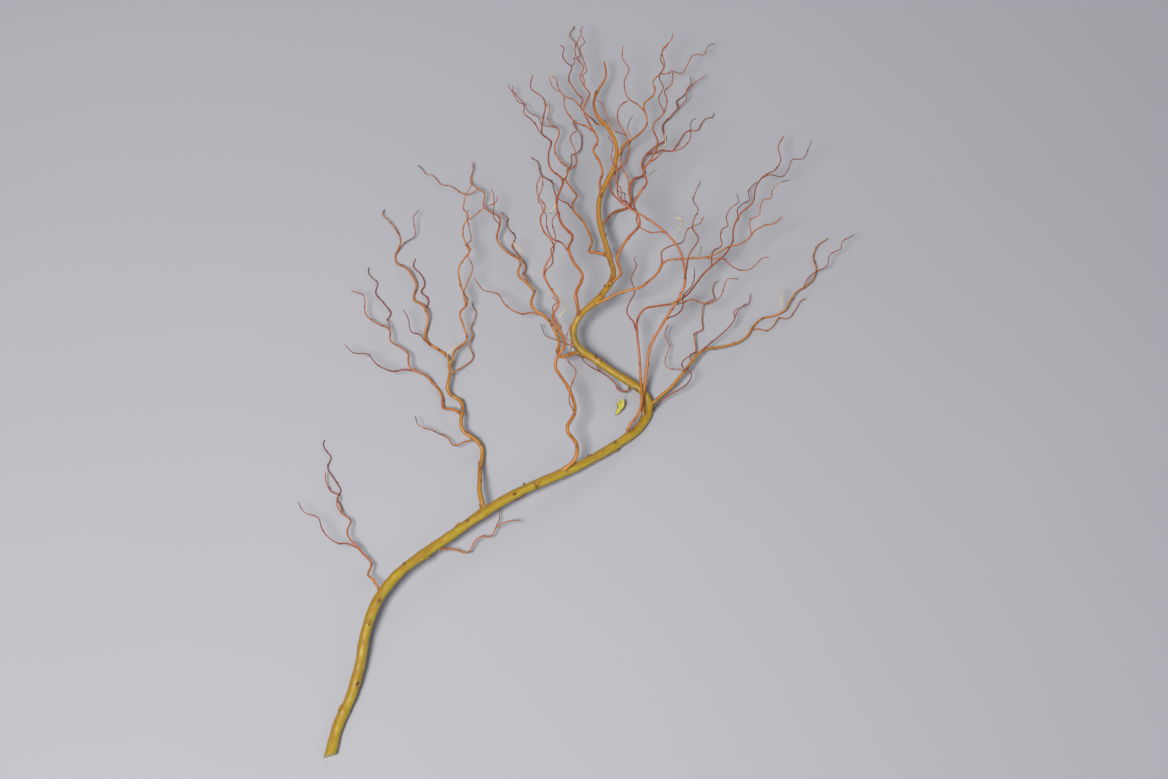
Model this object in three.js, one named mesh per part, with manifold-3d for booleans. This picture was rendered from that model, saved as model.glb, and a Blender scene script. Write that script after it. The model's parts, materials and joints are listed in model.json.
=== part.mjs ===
// A curly willow branch, cut and laid on a flat surface: one woody piece (stem, side shoots, twigs and
// buds grown together) and the few leaves that still hang on it. Millimetres, +Z up, the surface at z =
// 0. The branch lies along +Y, with its cut end towards -Y, and is centred on the origin in plan.
import * as THREE from "three";
import { mergeVertices } from "three/addons/utils/BufferGeometryUtils.js";
import Module from "manifold-3d";

const wasm = await Module();
wasm.setup();

// ---- Driving dimensions ----

const PLAN_CENTRE = [76, 196]; // the middle of the branch, in the frame that its routes are drawn in
const STEP = 4; // distance between the centreline points of every axis
const CUT_SLANT = 0.55; // slope of the cut across the butt end

// Main stem: [x, y, z, radius] along its centreline, from the cut end to the tip.
const STEM = [
  [-272, -388, 7.1, 7.8],
  [-262, -345, 7.9, 7.7],
  [-245, -303, 12, 7.6],
  [-234, -260, 18, 7.5],
  [-227, -215, 25, 7.4],
  [-212, -172, 30, 7.3],
  [-186, -135, 32, 7.2],
  [-152, -105, 31, 7.1],
  [-116, -78, 29, 7.0],
  [-79, -50, 29, 7.0],
  [-40, -23, 29, 6.9],
  [0, 0, 27, 6.9],
  [43, 21.5, 22, 6.8],
  [87, 46, 16, 6.7],
  [130, 75.5, 10.5, 6.6],
  [156.5, 97.5, 7.0, 6.6],
  [171, 119, 5.7, 6.6],
  [174, 137.5, 6.9, 6.4],
  [166, 155, 11, 6.2],
  [146, 169, 16, 6.0],
  [121.7, 182.6, 22, 5.8],
  [95.7, 199, 29, 5.5],
  [74, 213, 36, 5.2],
  [64.5, 227, 42, 4.9],
  [64.5, 243.5, 48, 4.8],
  [74, 260, 54, 4.7],
  [91.3, 276, 58, 4.6],
  [107, 293, 60, 4.5],
  [118.5, 310.5, 60, 4.4],
  [122.5, 329, 57, 4.3],
  [118.3, 350, 52, 4.2],
  [112, 379, 44, 4.1],
  [105, 409, 37, 4.0],
  [101, 436, 33, 3.9],
  [103, 465, 31, 3.7],
  [114, 492, 34, 3.5],
  [126, 518, 40, 3.3],
  [128, 547, 46, 3.1],
  [116, 574, 49, 2.8],
  [100, 598, 46, 2.5],
  [94, 625, 40, 2.2],
  [102, 651, 35, 1.9],
  [113, 675, 34, 1.6],
  [110, 700, 36, 1.2],
];

// Shoots with a drawn route: what they leave, at which share of its length, their radius at the fork and
// at the tip, the [x, y, z] points that they pass, and the seed of their twigs.
const DRAWN_SHOOTS = [
  {
    name: "bend_over_1",
    on: "stem",
    at: 0.4786,
    radius: 2.1,
    tip: 0.8,
    seed: 3,
    route: [
      [143, 93.5, 16], [146.5, 101, 20.5], [153, 108, 23.5], [159, 117.5, 24.8], [162.5, 130, 25.5],
      [163.5, 141, 26], [163, 153, 27], [161.7, 169, 29], [161, 191, 35], [159, 213, 43],
      [156.5, 236, 51], [157.5, 252, 56], [168, 267, 60], [188, 272, 60], [212, 278, 58],
      [232, 294, 54], [243, 310, 52], [256, 329, 50], [270, 344, 48], [288, 362, 46],
      [300, 383, 45], [303, 408, 46], [314, 430, 49], [332, 447, 52], [337, 471, 53],
      [350, 492, 51], [368, 505, 47], [377, 524, 44], [374, 546, 43], [384, 566, 44],
    ],
  },
  {
    name: "bend_over_2",
    on: "stem",
    at: 0.5043,
    radius: 2.5,
    tip: 0.8,
    seed: 6,
    route: [
      [165.5, 120, 13], [164.5, 129.5, 17.5], [165, 141, 19.5], [167.5, 157, 22.5], [169.7, 175, 27.5],
      [171.8, 190, 34.5], [174, 206, 44], [179.5, 219, 52], [189, 233, 62], [199, 247, 72],
      [209, 260, 82], [219, 273, 92], [225, 286, 100], [226, 300, 108], [223.5, 315, 116],
      [219.5, 329, 122], [213, 340, 126], [204, 349.5, 130], [193, 360, 134], [180, 369.5, 137],
      [165, 379, 140], [152, 386, 142], [141, 393, 144], [129, 403, 145], [119, 418, 144],
      [117, 437, 140], [127, 455, 137], [141, 470, 138], [146, 490, 143], [139, 511, 150],
      [129, 528, 155], [131, 549, 158], [146, 563, 157],
    ],
  },
  {
    name: "bend_right",
    on: "stem",
    at: 0.5214,
    radius: 2.7,
    tip: 0.8,
    seed: 51,
    route: [
      [183, 141, 10], [192, 149, 12.5], [201, 156, 15], [210, 164.5, 17], [218.5, 175, 19],
      [227, 184.5, 20.5], [234, 194, 21], [241, 204, 21], [247, 212.5, 20], [254, 219, 18.5],
      [263, 223, 16.5], [275, 225.5, 14], [291, 230, 10.5], [308, 237, 7.5], [322, 249, 5.5],
      [331, 265, 4.6], [344, 277, 4.4], [361, 281, 5], [378, 289, 7], [387, 305, 9],
      [397, 319, 9.5], [411, 329, 7.5], [423, 342, 5], [428, 360, 4], [424, 379, 4],
      [431, 397, 4.8], [446, 409, 6],
    ],
  },
  {
    name: "bend_right_twig",
    on: "bend_right",
    at: 0.255,
    radius: 1.1,
    tip: 0.6,
    seed: 4,
    route: [
      [265, 229.5, 20], [276, 238, 23], [290, 250, 26], [300, 262, 27], [306, 278, 27], [318, 290, 29],
    ],
  },
  {
    name: "bend_curl",
    on: "stem",
    at: 0.51,
    radius: 1.25,
    tip: 0.7,
    seed: 3,
    route: [
      [178.5, 126, 8.8], [184, 131.5, 11.5], [190, 137.5, 14], [198, 144, 17], [209, 150.5, 20],
      [220, 156, 23], [229, 161, 26.5], [235, 168.5, 30], [236, 175, 33], [231, 180, 34],
      [225.5, 183, 34], [222.5, 189, 33.5], [224.5, 196, 32.5], [231, 202, 32], [240, 205.5, 33],
    ],
  },
  {
    name: "upper_right",
    on: "stem",
    at: 0.6705,
    radius: 2.2,
    tip: 0.8,
    seed: 3,
    route: [
      [116, 283.5, 63], [128, 288.5, 68], [136, 290.5, 70], [148, 292, 72.5], [159, 294, 74.5],
      [168, 299, 76], [176, 306, 77], [184, 313, 78], [190, 322, 79], [195, 331, 80], [203, 336.5, 81],
      [216, 337.5, 82], [238, 338, 84], [261, 339.5, 86], [276, 345, 88], [291, 354, 89],
      [307, 359, 88], [321, 369, 85], [331, 384, 82], [346, 393, 81], [362, 397, 83], [374, 408, 85],
    ],
  },
  {
    name: "hook",
    on: "stem",
    at: 0.5527,
    radius: 1.4,
    tip: 0.7,
    seed: 7,
    route: [
      [143.5, 158, 12.5], [137, 155.5, 11.5], [130.5, 158.5, 12.5], [126.5, 165, 14],
      [121.5, 171, 15.5], [113.5, 177.5, 18], [104, 183, 21], [94, 187, 24], [84, 193, 26],
      [77, 202, 26], [74, 212, 27],
    ],
  },
];

// Shoots that grow by rule: side is the angle round their parent at which they leave it (0 right, 90 up),
// fork the angle that they make with it, aim the direction that they then keep to, curl the slope of
// their turns, period the length of one turn, phase where the first turn starts, and seed sets their
// twigs. The one that lies on the surface has a clearance of its own.
const GROWN_SHOOTS = [
  { name: "low_left", on: "stem", at: 0.168, side: 200, fork: 50, aim: [-0.4, 0.9, -0.1], length: 240,
    radius: 1.8, curl: 0.62, period: 72, phase: 0.4, seed: 1 },
  { name: "low_right", on: "stem", at: 0.238, side: -20, fork: 44, aim: [0.84, 0.54, 0.02], length: 150,
    radius: 1.4, curl: 0.55, period: 60, phase: 2.9, seed: 3 },
  { name: "side", on: "stem", at: 0.301, side: 165, fork: 42, aim: [-0.34, 0.93, -0.06], length: 600,
    radius: 3.6, curl: 0.62, period: 100, phase: 2.1, seed: 19, clearance: -1.4 },
  { name: "side_left", on: "side", at: 0.3, side: 190, fork: 46, aim: [-0.62, 0.8, 0.05], length: 300,
    radius: 1.9, curl: 0.62, period: 76, phase: 1.1, seed: 1 },
  { name: "side_right", on: "side", at: 0.45, side: 40, fork: 44, aim: [0.02, 0.97, 0.22], length: 330,
    radius: 1.9, curl: 0.62, period: 80, phase: 3.6, seed: 15 },
  { name: "middle", on: "stem", at: 0.392, side: 105, fork: 48, aim: [-0.12, 0.95, 0.25], length: 520,
    radius: 3.0, curl: 0.64, period: 96, phase: 4.4, seed: 14 },
  { name: "bend_left_1", on: "stem", at: 0.613, side: 190, fork: 52, aim: [-0.4, 0.92, -0.06], length: 460,
    radius: 2.8, curl: 0.66, period: 86, phase: 1.2, seed: 1 },
  { name: "bend_left_2", on: "stem", at: 0.652, side: 110, fork: 45, aim: [-0.22, 0.94, 0.22], length: 430,
    radius: 2.5, curl: 0.62, period: 88, phase: 3.3, seed: 2 },
  { name: "upper_over", on: "stem", at: 0.702, side: 70, fork: 45, aim: [0.24, 0.9, 0.3], length: 380,
    radius: 2.3, curl: 0.62, period: 80, phase: 5.6, seed: 3 },
  { name: "upper_left", on: "stem", at: 0.742, side: 205, fork: 48, aim: [-0.24, 0.95, -0.08], length: 350,
    radius: 2.2, curl: 0.6, period: 76, phase: 0.9, seed: 3 },
  { name: "top_right_1", on: "stem", at: 0.781, side: -25, fork: 45, aim: [0.42, 0.9, -0.06], length: 350,
    radius: 2.2, curl: 0.62, period: 78, phase: 2.7, seed: 1 },
  { name: "top_left_1", on: "stem", at: 0.826, side: 140, fork: 42, aim: [-0.16, 0.95, 0.2], length: 280,
    radius: 2.0, curl: 0.6, period: 72, phase: 4.0, seed: 1 },
  { name: "top_right_2", on: "stem", at: 0.868, side: 15, fork: 45, aim: [0.3, 0.94, 0.1], length: 250,
    radius: 1.8, curl: 0.6, period: 68, phase: 1.8, seed: 1 },
  { name: "top_left_2", on: "stem", at: 0.912, side: 215, fork: 42, aim: [-0.28, 0.94, 0.0], length: 190,
    radius: 1.5, curl: 0.58, period: 60, phase: 3.9, seed: 2 },
];

const GROWTH = {
  forkTurn: 68, // distance over which a shoot turns from its fork to its aim
  tip: 0.7, // radius at the end of a grown shoot
  clearance: 2, // least height that a shoot keeps above the surface, below 0 where it is pressed flat
  softness: 7, // how near that height a shoot starts to bend level
};

// How a shoot sways about its aim. Its turns tighten towards the tip, keep an uneven pace that wanders at
// a rate of its own, and set in over a share of the first. Sideways it follows a wave and a smaller one
// of another rate, and up and down two more.
const SWAY = {
  tighter: 0.3,
  uneven: 0.3,
  wander: 0.41,
  onset: 0.4,
  level: { size: 0.4, rate: 1.9 },
  rise: [
    { size: 0.8, rate: 0.83 },
    { size: 0.3, rate: 2.2 },
  ],
};

const TWIGS = {
  spacing: 97, // distance between twigs along a shoot
  first: 0.16, // share of the shoot's length below which it is bare
  last: 0.93,
  length: [85, 200],
  fork: [34, 54],
  radius: [0.95, 1.3],
  thinner: 0.8, // most that a twig's radius may be of its shoot's
  shorter: 0.4, // share of its length that a twig at the shoot's tip loses
  tip: 0.6,
  curl: [0.45, 0.72],
  period: [44, 70],
  turn: 144, // angle round the shoot from one twig to the next
  sway: 25, // how far that angle may stray
  along: [0.9, 1.5], // how much a twig's aim keeps of the shoot's own direction
  away: [0.5, 1.0], // and how much of the direction of its fork
};

// Buds of the stem: thinnest is the radius below which it bears none. The sizes of a bud's foot, shoulder
// and tip, and how far its shoulder stands off the bark and leans along the stem, are shares of its size.
const BUDS = {
  spacing: 62,
  turn: 144,
  thinnest: 1.6,
  size: 5,
  foot: 0.42,
  shoulder: 0.34,
  tip: 0.7,
  stand: 0.32,
  lean: 0.55,
};

// The faceting of each kind of axis: the sides of its tube, and how far its straight stretches may stray
// from the curve.
const FACETS = {
  stem: { sides: 8, tolerance: 0.6 },
  shoot: { sides: 5, tolerance: 1.3 },
  thinShoot: { sides: 4, tolerance: 1.3 },
  twig: { sides: 3, tolerance: 1.4 },
};
const THIN_SHOOT = 2.6; // radius at the fork below which a shoot counts as thin

// What the leaves share: stalk is the share of a leaf's length that its stalk takes, flat the share of
// the bark's radius at which its facets lie, skew how far the widest place is drawn towards the stalk.
const LEAF = {
  thickness: 0.6,
  gap: 0.3,
  flat: 0.92,
  stations: 12,
  stalk: 0.14,
  stalkWidth: 1,
  fold: 0.22,
  skew: 0.8,
  fullness: 0.8,
};

// Leaves: the shoot that each hangs on, the share of its length, the side that it leaves on, its length
// and width, how far it curls up along its length and how far it turns about it, in degrees. One whose
// blade lies over is rolled about its stalk.
const LEAVES = [
  { name: "yellow_leaf", on: "hook", at: 0.15, side: 180, fork: 54, roll: 60,
    length: 37, width: 13, curl: -20, turn: 40, stalk: 0.28 },
  { name: "green_leaf_1", on: "bend_over_1", at: 0.4, side: 60, fork: 50,
    length: 22, width: 4.5, curl: 70, turn: 40 },
  { name: "green_leaf_2", on: "upper_right", at: 0.55, side: 120, fork: 55,
    length: 20, width: 4, curl: 60, turn: -60 },
  { name: "green_leaf_3", on: "upper_over", at: 0.5, side: 30, fork: 50,
    length: 24, width: 4.5, curl: 80, turn: 50 },
  { name: "dried_leaf_1", on: "bend_over_2", at: 0.5, side: 20, fork: 60,
    length: 62, width: 4, curl: 260, turn: 240 },
  { name: "dried_leaf_2", on: "bend_right", at: 0.62, side: 100, fork: 55,
    length: 54, width: 3.6, curl: 220, turn: -200 },
  { name: "dried_leaf_3", on: "side", at: 0.45, side: 100, fork: 60,
    length: 58, width: 3.8, curl: 250, turn: 220 },
  { name: "dried_leaf_4", on: "bend_left_1", at: 0.5, side: 80, fork: 60,
    length: 50, width: 3.4, curl: 230, turn: -260 },
  { name: "dried_leaf_5", on: "bend_left_2", at: 0.42, side: 140, fork: 55,
    length: 66, width: 4, curl: 280, turn: 250 },
  { name: "dried_leaf_6", on: "upper_left", at: 0.5, side: 120, fork: 60,
    length: 52, width: 3.6, curl: 240, turn: 200 },
  { name: "dried_leaf_7", on: "top_right_1", at: 0.55, side: 40, fork: 55,
    length: 60, width: 3.8, curl: 260, turn: -230 },
  { name: "dried_leaf_8", on: "middle", at: 0.5, side: 60, fork: 60,
    length: 46, width: 3.4, curl: 210, turn: 220 },
];

// ---- Growth ----

const UP = new THREE.Vector3(0, 0, 1);

// Draws between low and high that come out the same every time, by Park and Miller's generator.
function drawsFrom(seed) {
  let state = seed * 7919;
  return (low, high) => {
    state = (state * 16807) % 2147483647;
    return low + ((high - low) * state) / 2147483647;
  };
}

// The two directions square to a heading: n1 level and to its right, n2 upwards from it.
function squareTo(heading) {
  const n1 = new THREE.Vector3().crossVectors(heading, UP).normalize();
  const n2 = new THREE.Vector3().crossVectors(n1, heading);
  return [n1, n2];
}

// An axis is a centreline with a radius at each of its points, which lie STEP apart. This one passes
// through knots of [x, y, z, radius].
function drawnAxis(knots) {
  const curve = new THREE.CatmullRomCurve3(knots.map(([x, y, z]) => new THREE.Vector3(x, y, z)));
  const perSpan = 24;
  const last = (knots.length - 1) * perSpan;
  const points = [curve.getPoint(0)];
  const radii = [knots[0][3]];
  let from = points[0];
  let walked = 0;
  for (let i = 1; i <= last; i++) {
    const to = curve.getPoint(i / last);
    const gap = from.distanceTo(to);
    walked += gap;
    if (walked >= STEP) {
      const share = 1 - (walked - STEP) / gap;
      const t = (i - 1 + share) / perSpan;
      const k = Math.min(Math.floor(t), knots.length - 2);
      points.push(from.clone().lerp(to, share));
      radii.push(knots[k][3] + (knots[k + 1][3] - knots[k][3]) * (t - k));
      walked -= STEP;
    }
    from = to;
  }
  return { points, radii, held: new Set([0, points.length - 1]) };
}

// A shoot grows from root, at first towards out, and turns to its aim. Its heading sways about that in
// two directions at unlike rates, which makes the curls, and they tighten towards the tip. It bends level
// where it nears the surface.
function grownAxis(rule) {
  const { root, out, aim, length, radius, tip, curl, period, phase, clearance = GROWTH.clearance } = rule;
  const { level, rise } = SWAY;
  const [slow, quick] = rise;
  const count = Math.round(length / STEP);
  const mean = new THREE.Vector3();
  const points = [root.clone()];
  const radii = [radius];
  let turn = phase;
  for (let i = 1; i <= count; i++) {
    const s = i * STEP;
    const share = i / count;
    const thick = radius + (tip - radius) * share;
    mean.copy(out).lerp(aim, THREE.MathUtils.smoothstep(s, 0, GROWTH.forkTurn)).normalize();
    const [n1, n2] = squareTo(mean);
    const rate = (2 * Math.PI) / (period * (1 - SWAY.tighter * share));
    turn += rate * STEP * (1 + SWAY.uneven * Math.sin(turn * SWAY.wander + phase));
    const swing = curl * Math.min(1, s / (period * SWAY.onset));
    const sideways = Math.cos(turn) + level.size * Math.cos(level.rate * turn + 2 * phase);
    const upwards =
      slow.size * Math.sin(slow.rate * turn) + quick.size * Math.sin(quick.rate * turn + phase);
    const heading = mean
      .clone()
      .addScaledVector(n1, swing * sideways)
      .addScaledVector(n2, swing * upwards)
      .normalize();
    const room = points[i - 1].z - thick - clearance;
    if (heading.z < 0) heading.z *= Math.min(1, Math.max(0, room) / GROWTH.softness);
    points.push(points[i - 1].clone().addScaledVector(heading.normalize(), STEP));
    radii.push(thick);
  }
  return { points, radii, held: new Set([0, points.length - 1]) };
}

// The place on an axis at a share of its length, with the heading there. The axis keeps that point when
// it is thinned, because something grows from it.
function placeOn(axis, at) {
  const last = axis.points.length - 1;
  const index = Math.round(at * last);
  const heading = axis.points[Math.min(index + 1, last)].clone();
  heading.sub(axis.points[Math.max(index - 1, 0)]).normalize();
  axis.held.add(index);
  return { point: axis.points[index], radius: axis.radii[index], heading };
}

// The direction that leaves a heading at an angle fork, on the side given by an angle round it.
function forkFrom(heading, side, fork) {
  const [n1, n2] = squareTo(heading);
  const round = THREE.MathUtils.degToRad(side);
  const open = THREE.MathUtils.degToRad(fork);
  return heading
    .clone()
    .multiplyScalar(Math.cos(open))
    .addScaledVector(n1, Math.sin(open) * Math.cos(round))
    .addScaledVector(n2, Math.sin(open) * Math.sin(round));
}

function drawnShoot(parent, { at, radius, tip, route }) {
  const knots = [placeOn(parent, at).point.toArray(), ...route];
  return drawnAxis(knots.map((p, i) => [...p, radius + ((tip - radius) * i) / (knots.length - 1)]));
}

function grownShoot(parent, row) {
  const { point, heading } = placeOn(parent, row.at);
  return grownAxis({
    ...row,
    root: point,
    out: forkFrom(heading, row.side, row.fork),
    aim: new THREE.Vector3(...row.aim).normalize(),
    tip: GROWTH.tip,
  });
}

// The twigs of one shoot, each further round it than the last.
function twigsOf(shoot, seed) {
  const draw = drawsFrom(seed);
  const length = (shoot.points.length - 1) * STEP;
  const count = Math.round((length * (TWIGS.last - TWIGS.first)) / TWIGS.spacing);
  const overall = shoot.points.at(-1).clone().sub(shoot.points[0]).normalize();
  let side = draw(0, 360);
  return Array.from({ length: count }, (_, i) => {
    const at = TWIGS.first + ((TWIGS.last - TWIGS.first) * (i + draw(0.2, 0.8))) / count;
    const { point, radius, heading } = placeOn(shoot, at);
    side += TWIGS.turn + draw(-TWIGS.sway, TWIGS.sway);
    const out = forkFrom(heading, side, draw(...TWIGS.fork));
    const aim = overall.clone().multiplyScalar(draw(...TWIGS.along));
    aim.addScaledVector(out, draw(...TWIGS.away)).normalize();
    return grownAxis({
      root: point,
      out,
      aim,
      length: draw(...TWIGS.length) * (1 - TWIGS.shorter * at),
      radius: Math.min(draw(...TWIGS.radius), radius * TWIGS.thinner),
      tip: TWIGS.tip,
      curl: draw(...TWIGS.curl),
      period: draw(...TWIGS.period),
      phase: draw(0, 2 * Math.PI),
    });
  });
}

const axes = { stem: drawnAxis(STEM) };
for (const row of DRAWN_SHOOTS) axes[row.name] = drawnShoot(axes[row.on], row);
for (const row of GROWN_SHOOTS) axes[row.name] = grownShoot(axes[row.on], row);
const twigs = [...DRAWN_SHOOTS, ...GROWN_SHOOTS].flatMap((row) => twigsOf(axes[row.name], row.seed));
const leafRoots = LEAVES.map(({ on, at }) => placeOn(axes[on], at));

// ---- Solids ----

// Keeps the points of a centreline that its shape needs, so that no dropped point lies further than the
// tolerance off, and those that it holds for what grows from it.
function thinned({ points, radii, held }, tolerance) {
  const fixed = [...held].sort((a, b) => a - b);
  const keep = new Set(fixed);
  const line = new THREE.Line3();
  const nearest = new THREE.Vector3();
  const split = (a, b) => {
    line.set(points[a], points[b]);
    let furthest = tolerance;
    let at = -1;
    for (let i = a + 1; i < b; i++) {
      const off = line.closestPointToPoint(points[i], true, nearest).distanceTo(points[i]);
      if (off > furthest) [furthest, at] = [off, i];
    }
    if (at < 0) return;
    keep.add(at);
    split(a, at);
    split(at, b);
  };
  for (let i = 1; i < fixed.length; i++) split(fixed[i - 1], fixed[i]);
  const kept = [...keep].sort((a, b) => a - b);
  return { points: kept.map((i) => points[i]), radii: kept.map((i) => radii[i]) };
}

// A closed tapering tube along an axis: a ring of vertices at each point, turned as little as possible
// from the last, with a flat first end, square or slanted, and a pointed last one.
function tube({ points, radii }, { sides, slant = 0, point = 1.5 * radii.at(-1) }) {
  const headings = points.map((_, i) =>
    points[Math.min(i + 1, points.length - 1)].clone().sub(points[Math.max(i - 1, 0)]).normalize(),
  );
  const across = squareTo(headings[0])[0];
  const vertices = [points[0]];
  points.forEach((p, i) => {
    across.addScaledVector(headings[i], -across.dot(headings[i])).normalize();
    const over = new THREE.Vector3().crossVectors(across, headings[i]);
    for (let k = 0; k < sides; k++) {
      const angle = (2 * Math.PI * (k + 0.5)) / sides;
      const out = across.clone().multiplyScalar(Math.cos(angle)).addScaledVector(over, Math.sin(angle));
      if (i === 0) out.addScaledVector(headings[0], slant * Math.cos(angle));
      vertices.push(p.clone().addScaledVector(out, radii[i]));
    }
  });
  vertices.push(points.at(-1).clone().addScaledVector(headings.at(-1), point));
  const ring = (i, k) => 1 + i * sides + (k % sides);
  const last = points.length - 1;
  const faces = [];
  for (let k = 0; k < sides; k++) {
    faces.push(0, ring(0, k), ring(0, k + 1));
    for (let i = 0; i < last; i++) {
      faces.push(ring(i, k), ring(i + 1, k), ring(i + 1, k + 1));
      faces.push(ring(i, k), ring(i + 1, k + 1), ring(i, k + 1));
    }
    faces.push(ring(last, k), vertices.length - 1, ring(last, k + 1));
  }
  return new THREE.BufferGeometry().setFromPoints(vertices).setIndex(faces);
}

// The buds of an axis, one at every spacing along it, each further round it than the last: small pointed
// solids that grow from inside the wood and lean along it.
function budsOf(axis) {
  const every = Math.round(BUDS.spacing / STEP);
  const buds = [];
  for (let i = every; axis.radii[i] > BUDS.thinnest; i += every) {
    const { point, radius, heading } = placeOn(axis, i / (axis.points.length - 1));
    const out = forkFrom(heading, (BUDS.turn * i) / every, 90);
    const foot = point.clone().addScaledVector(out, radius * 0.5);
    const shoulder = point
      .clone()
      .addScaledVector(out, radius + BUDS.size * BUDS.stand)
      .addScaledVector(heading, BUDS.size * BUDS.lean);
    const radii = [BUDS.size * BUDS.foot, BUDS.size * BUDS.shoulder];
    buds.push(tube({ points: [foot, shoulder], radii }, { sides: 4, point: BUDS.size * BUDS.tip }));
  }
  return buds;
}

function solid(geometry) {
  const merged = mergeVertices(geometry, 1e-4);
  return new wasm.Manifold(
    new wasm.Mesh({
      numProp: 3,
      vertProperties: merged.attributes.position.array,
      triVerts: new Uint32Array(merged.index.array),
    }),
  );
}

function geometryOf(made) {
  const { vertProperties, triVerts } = made.getMesh();
  return new THREE.BufferGeometry()
    .setAttribute("position", new THREE.BufferAttribute(vertProperties, 3))
    .setIndex(new THREE.BufferAttribute(triVerts, 1));
}

// The whole woody piece, with the flat spots where it rests on the surface.
function woodGeometry() {
  const { stem, ...shoots } = axes;
  const faceted = (axis, facets) => tube(thinned(axis, facets.tolerance), facets);
  const facetsOf = (shoot) => (shoot.radii[0] < THIN_SHOOT ? FACETS.thinShoot : FACETS.shoot);
  const pieces = [
    faceted(stem, { ...FACETS.stem, slant: CUT_SLANT }),
    ...Object.values(shoots).map((shoot) => faceted(shoot, facetsOf(shoot))),
    ...twigs.map((twig) => faceted(twig, FACETS.twig)),
    ...budsOf(stem),
  ];
  const joined = pieces.map(solid).reduce((all, piece) => all.add(piece));
  return geometryOf(joined.trimByPlane([0, 0, 1], 0));
}

// The half width of a leaf along its length, as a share of the widest: a narrow stalk, then a lance-
// shaped blade.
function outline(share, stalk) {
  const blade = Math.max(0, (share - stalk) / (1 - stalk));
  return Math.pow(Math.sin(Math.PI * Math.pow(blade, LEAF.skew)), LEAF.fullness);
}

// A leaf: a blade folded a little along its midrib, on a short stalk that starts just clear of the bark.
// It is bent up by its curl and twisted by its turn along the way.
function leafGeometry(leaf, { point, radius, heading }) {
  const { side, fork, roll = 0, length, width, curl, turn, stalk = LEAF.stalk } = leaf;
  const out = forkFrom(heading, side, 90);
  const along = forkFrom(heading, side, fork);
  const across = new THREE.Vector3().crossVectors(along, out).normalize();
  const over = new THREE.Vector3().crossVectors(across, along);
  for (const v of [across, over]) v.applyAxisAngle(along, THREE.MathUtils.degToRad(roll));
  const centre = point.clone().addScaledVector(out, LEAF.flat * radius + LEAF.gap + LEAF.thickness / 2);
  const vertices = [];
  for (let i = 0; i <= LEAF.stations; i++) {
    const share = i / LEAF.stations;
    const half = Math.max(LEAF.stalkWidth / 2, (width / 2) * outline(share, stalk));
    const rise = half * LEAF.fold * 2;
    for (const face of [LEAF.thickness / 2, -LEAF.thickness / 2]) {
      for (const edge of [-1, 0, 1]) {
        const lift = face + Math.abs(edge) * rise;
        vertices.push(centre.clone().addScaledVector(across, edge * half).addScaledVector(over, lift));
      }
    }
    const bend = THREE.MathUtils.degToRad((2 * curl * share) / LEAF.stations);
    const twist = THREE.MathUtils.degToRad(turn / LEAF.stations);
    for (const v of [along, over]) v.applyAxisAngle(across, bend);
    for (const v of [across, over]) v.applyAxisAngle(along, twist);
    centre.addScaledVector(along, length / LEAF.stations);
  }
  const faces = [];
  const quad = (a, b, c, d) => faces.push(a, b, c, a, c, d);
  for (let i = 0; i < LEAF.stations; i++) {
    const [a, b] = [6 * i, 6 * (i + 1)];
    for (const k of [0, 1]) {
      quad(a + k, a + k + 1, b + k + 1, b + k);
      quad(a + 3 + k, b + 3 + k, b + 4 + k, a + 4 + k);
    }
    quad(a, b, b + 3, a + 3);
    quad(a + 2, a + 5, b + 5, b + 2);
  }
  const end = 6 * LEAF.stations;
  for (const k of [0, 1]) {
    quad(k, k + 3, k + 4, k + 1);
    quad(end + k, end + k + 1, end + k + 4, end + k + 3);
  }
  return new THREE.BufferGeometry().setFromPoints(vertices).setIndex(faces);
}

function named(name, geometry, material) {
  const mesh = new THREE.Mesh(geometry, material);
  mesh.name = name;
  return mesh;
}

const BARK = new THREE.MeshStandardMaterial({ color: 0xa8792c, roughness: 0.5, metalness: 0 });
const BLADES = {
  yellow_leaf: new THREE.MeshStandardMaterial({ color: 0xc4c84a, roughness: 0.6, metalness: 0 }),
  green_leaf: new THREE.MeshStandardMaterial({ color: 0x7fa04c, roughness: 0.6, metalness: 0 }),
  dried_leaf: new THREE.MeshStandardMaterial({ color: 0xe2d3a0, roughness: 0.8, metalness: 0 }),
};

const branch = new THREE.Group();
branch.position.set(-PLAN_CENTRE[0], -PLAN_CENTRE[1], 0);
branch.add(named("branch", woodGeometry(), BARK));
LEAVES.forEach((leaf, i) => {
  const blade = BLADES[leaf.name.replace(/_\d+$/, "")];
  branch.add(named(leaf.name, leafGeometry(leaf, leafRoots[i]), blade));
});

export default branch;
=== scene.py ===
import json
import math

import bpy
import numpy as np
from mathutils import Matrix, Vector, kdtree

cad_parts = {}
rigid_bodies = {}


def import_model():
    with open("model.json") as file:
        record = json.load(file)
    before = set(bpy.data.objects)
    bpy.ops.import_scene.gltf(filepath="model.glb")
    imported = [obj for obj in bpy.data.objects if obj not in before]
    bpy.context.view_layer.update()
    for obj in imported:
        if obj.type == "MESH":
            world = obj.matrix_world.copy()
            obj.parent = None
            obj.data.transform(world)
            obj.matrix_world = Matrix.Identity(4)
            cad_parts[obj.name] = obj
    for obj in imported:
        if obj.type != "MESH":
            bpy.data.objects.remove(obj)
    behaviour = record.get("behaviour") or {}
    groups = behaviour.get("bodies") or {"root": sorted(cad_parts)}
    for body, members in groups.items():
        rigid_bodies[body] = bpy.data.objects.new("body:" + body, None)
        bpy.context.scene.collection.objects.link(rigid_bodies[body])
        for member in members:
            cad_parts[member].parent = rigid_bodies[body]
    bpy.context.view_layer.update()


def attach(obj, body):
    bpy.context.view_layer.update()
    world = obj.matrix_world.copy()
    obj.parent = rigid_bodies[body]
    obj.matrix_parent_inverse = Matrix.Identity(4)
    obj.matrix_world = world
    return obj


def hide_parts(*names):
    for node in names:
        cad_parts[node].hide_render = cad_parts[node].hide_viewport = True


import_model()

# ---- Driving dimensions of the branch, as in the CAD source ----

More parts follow.
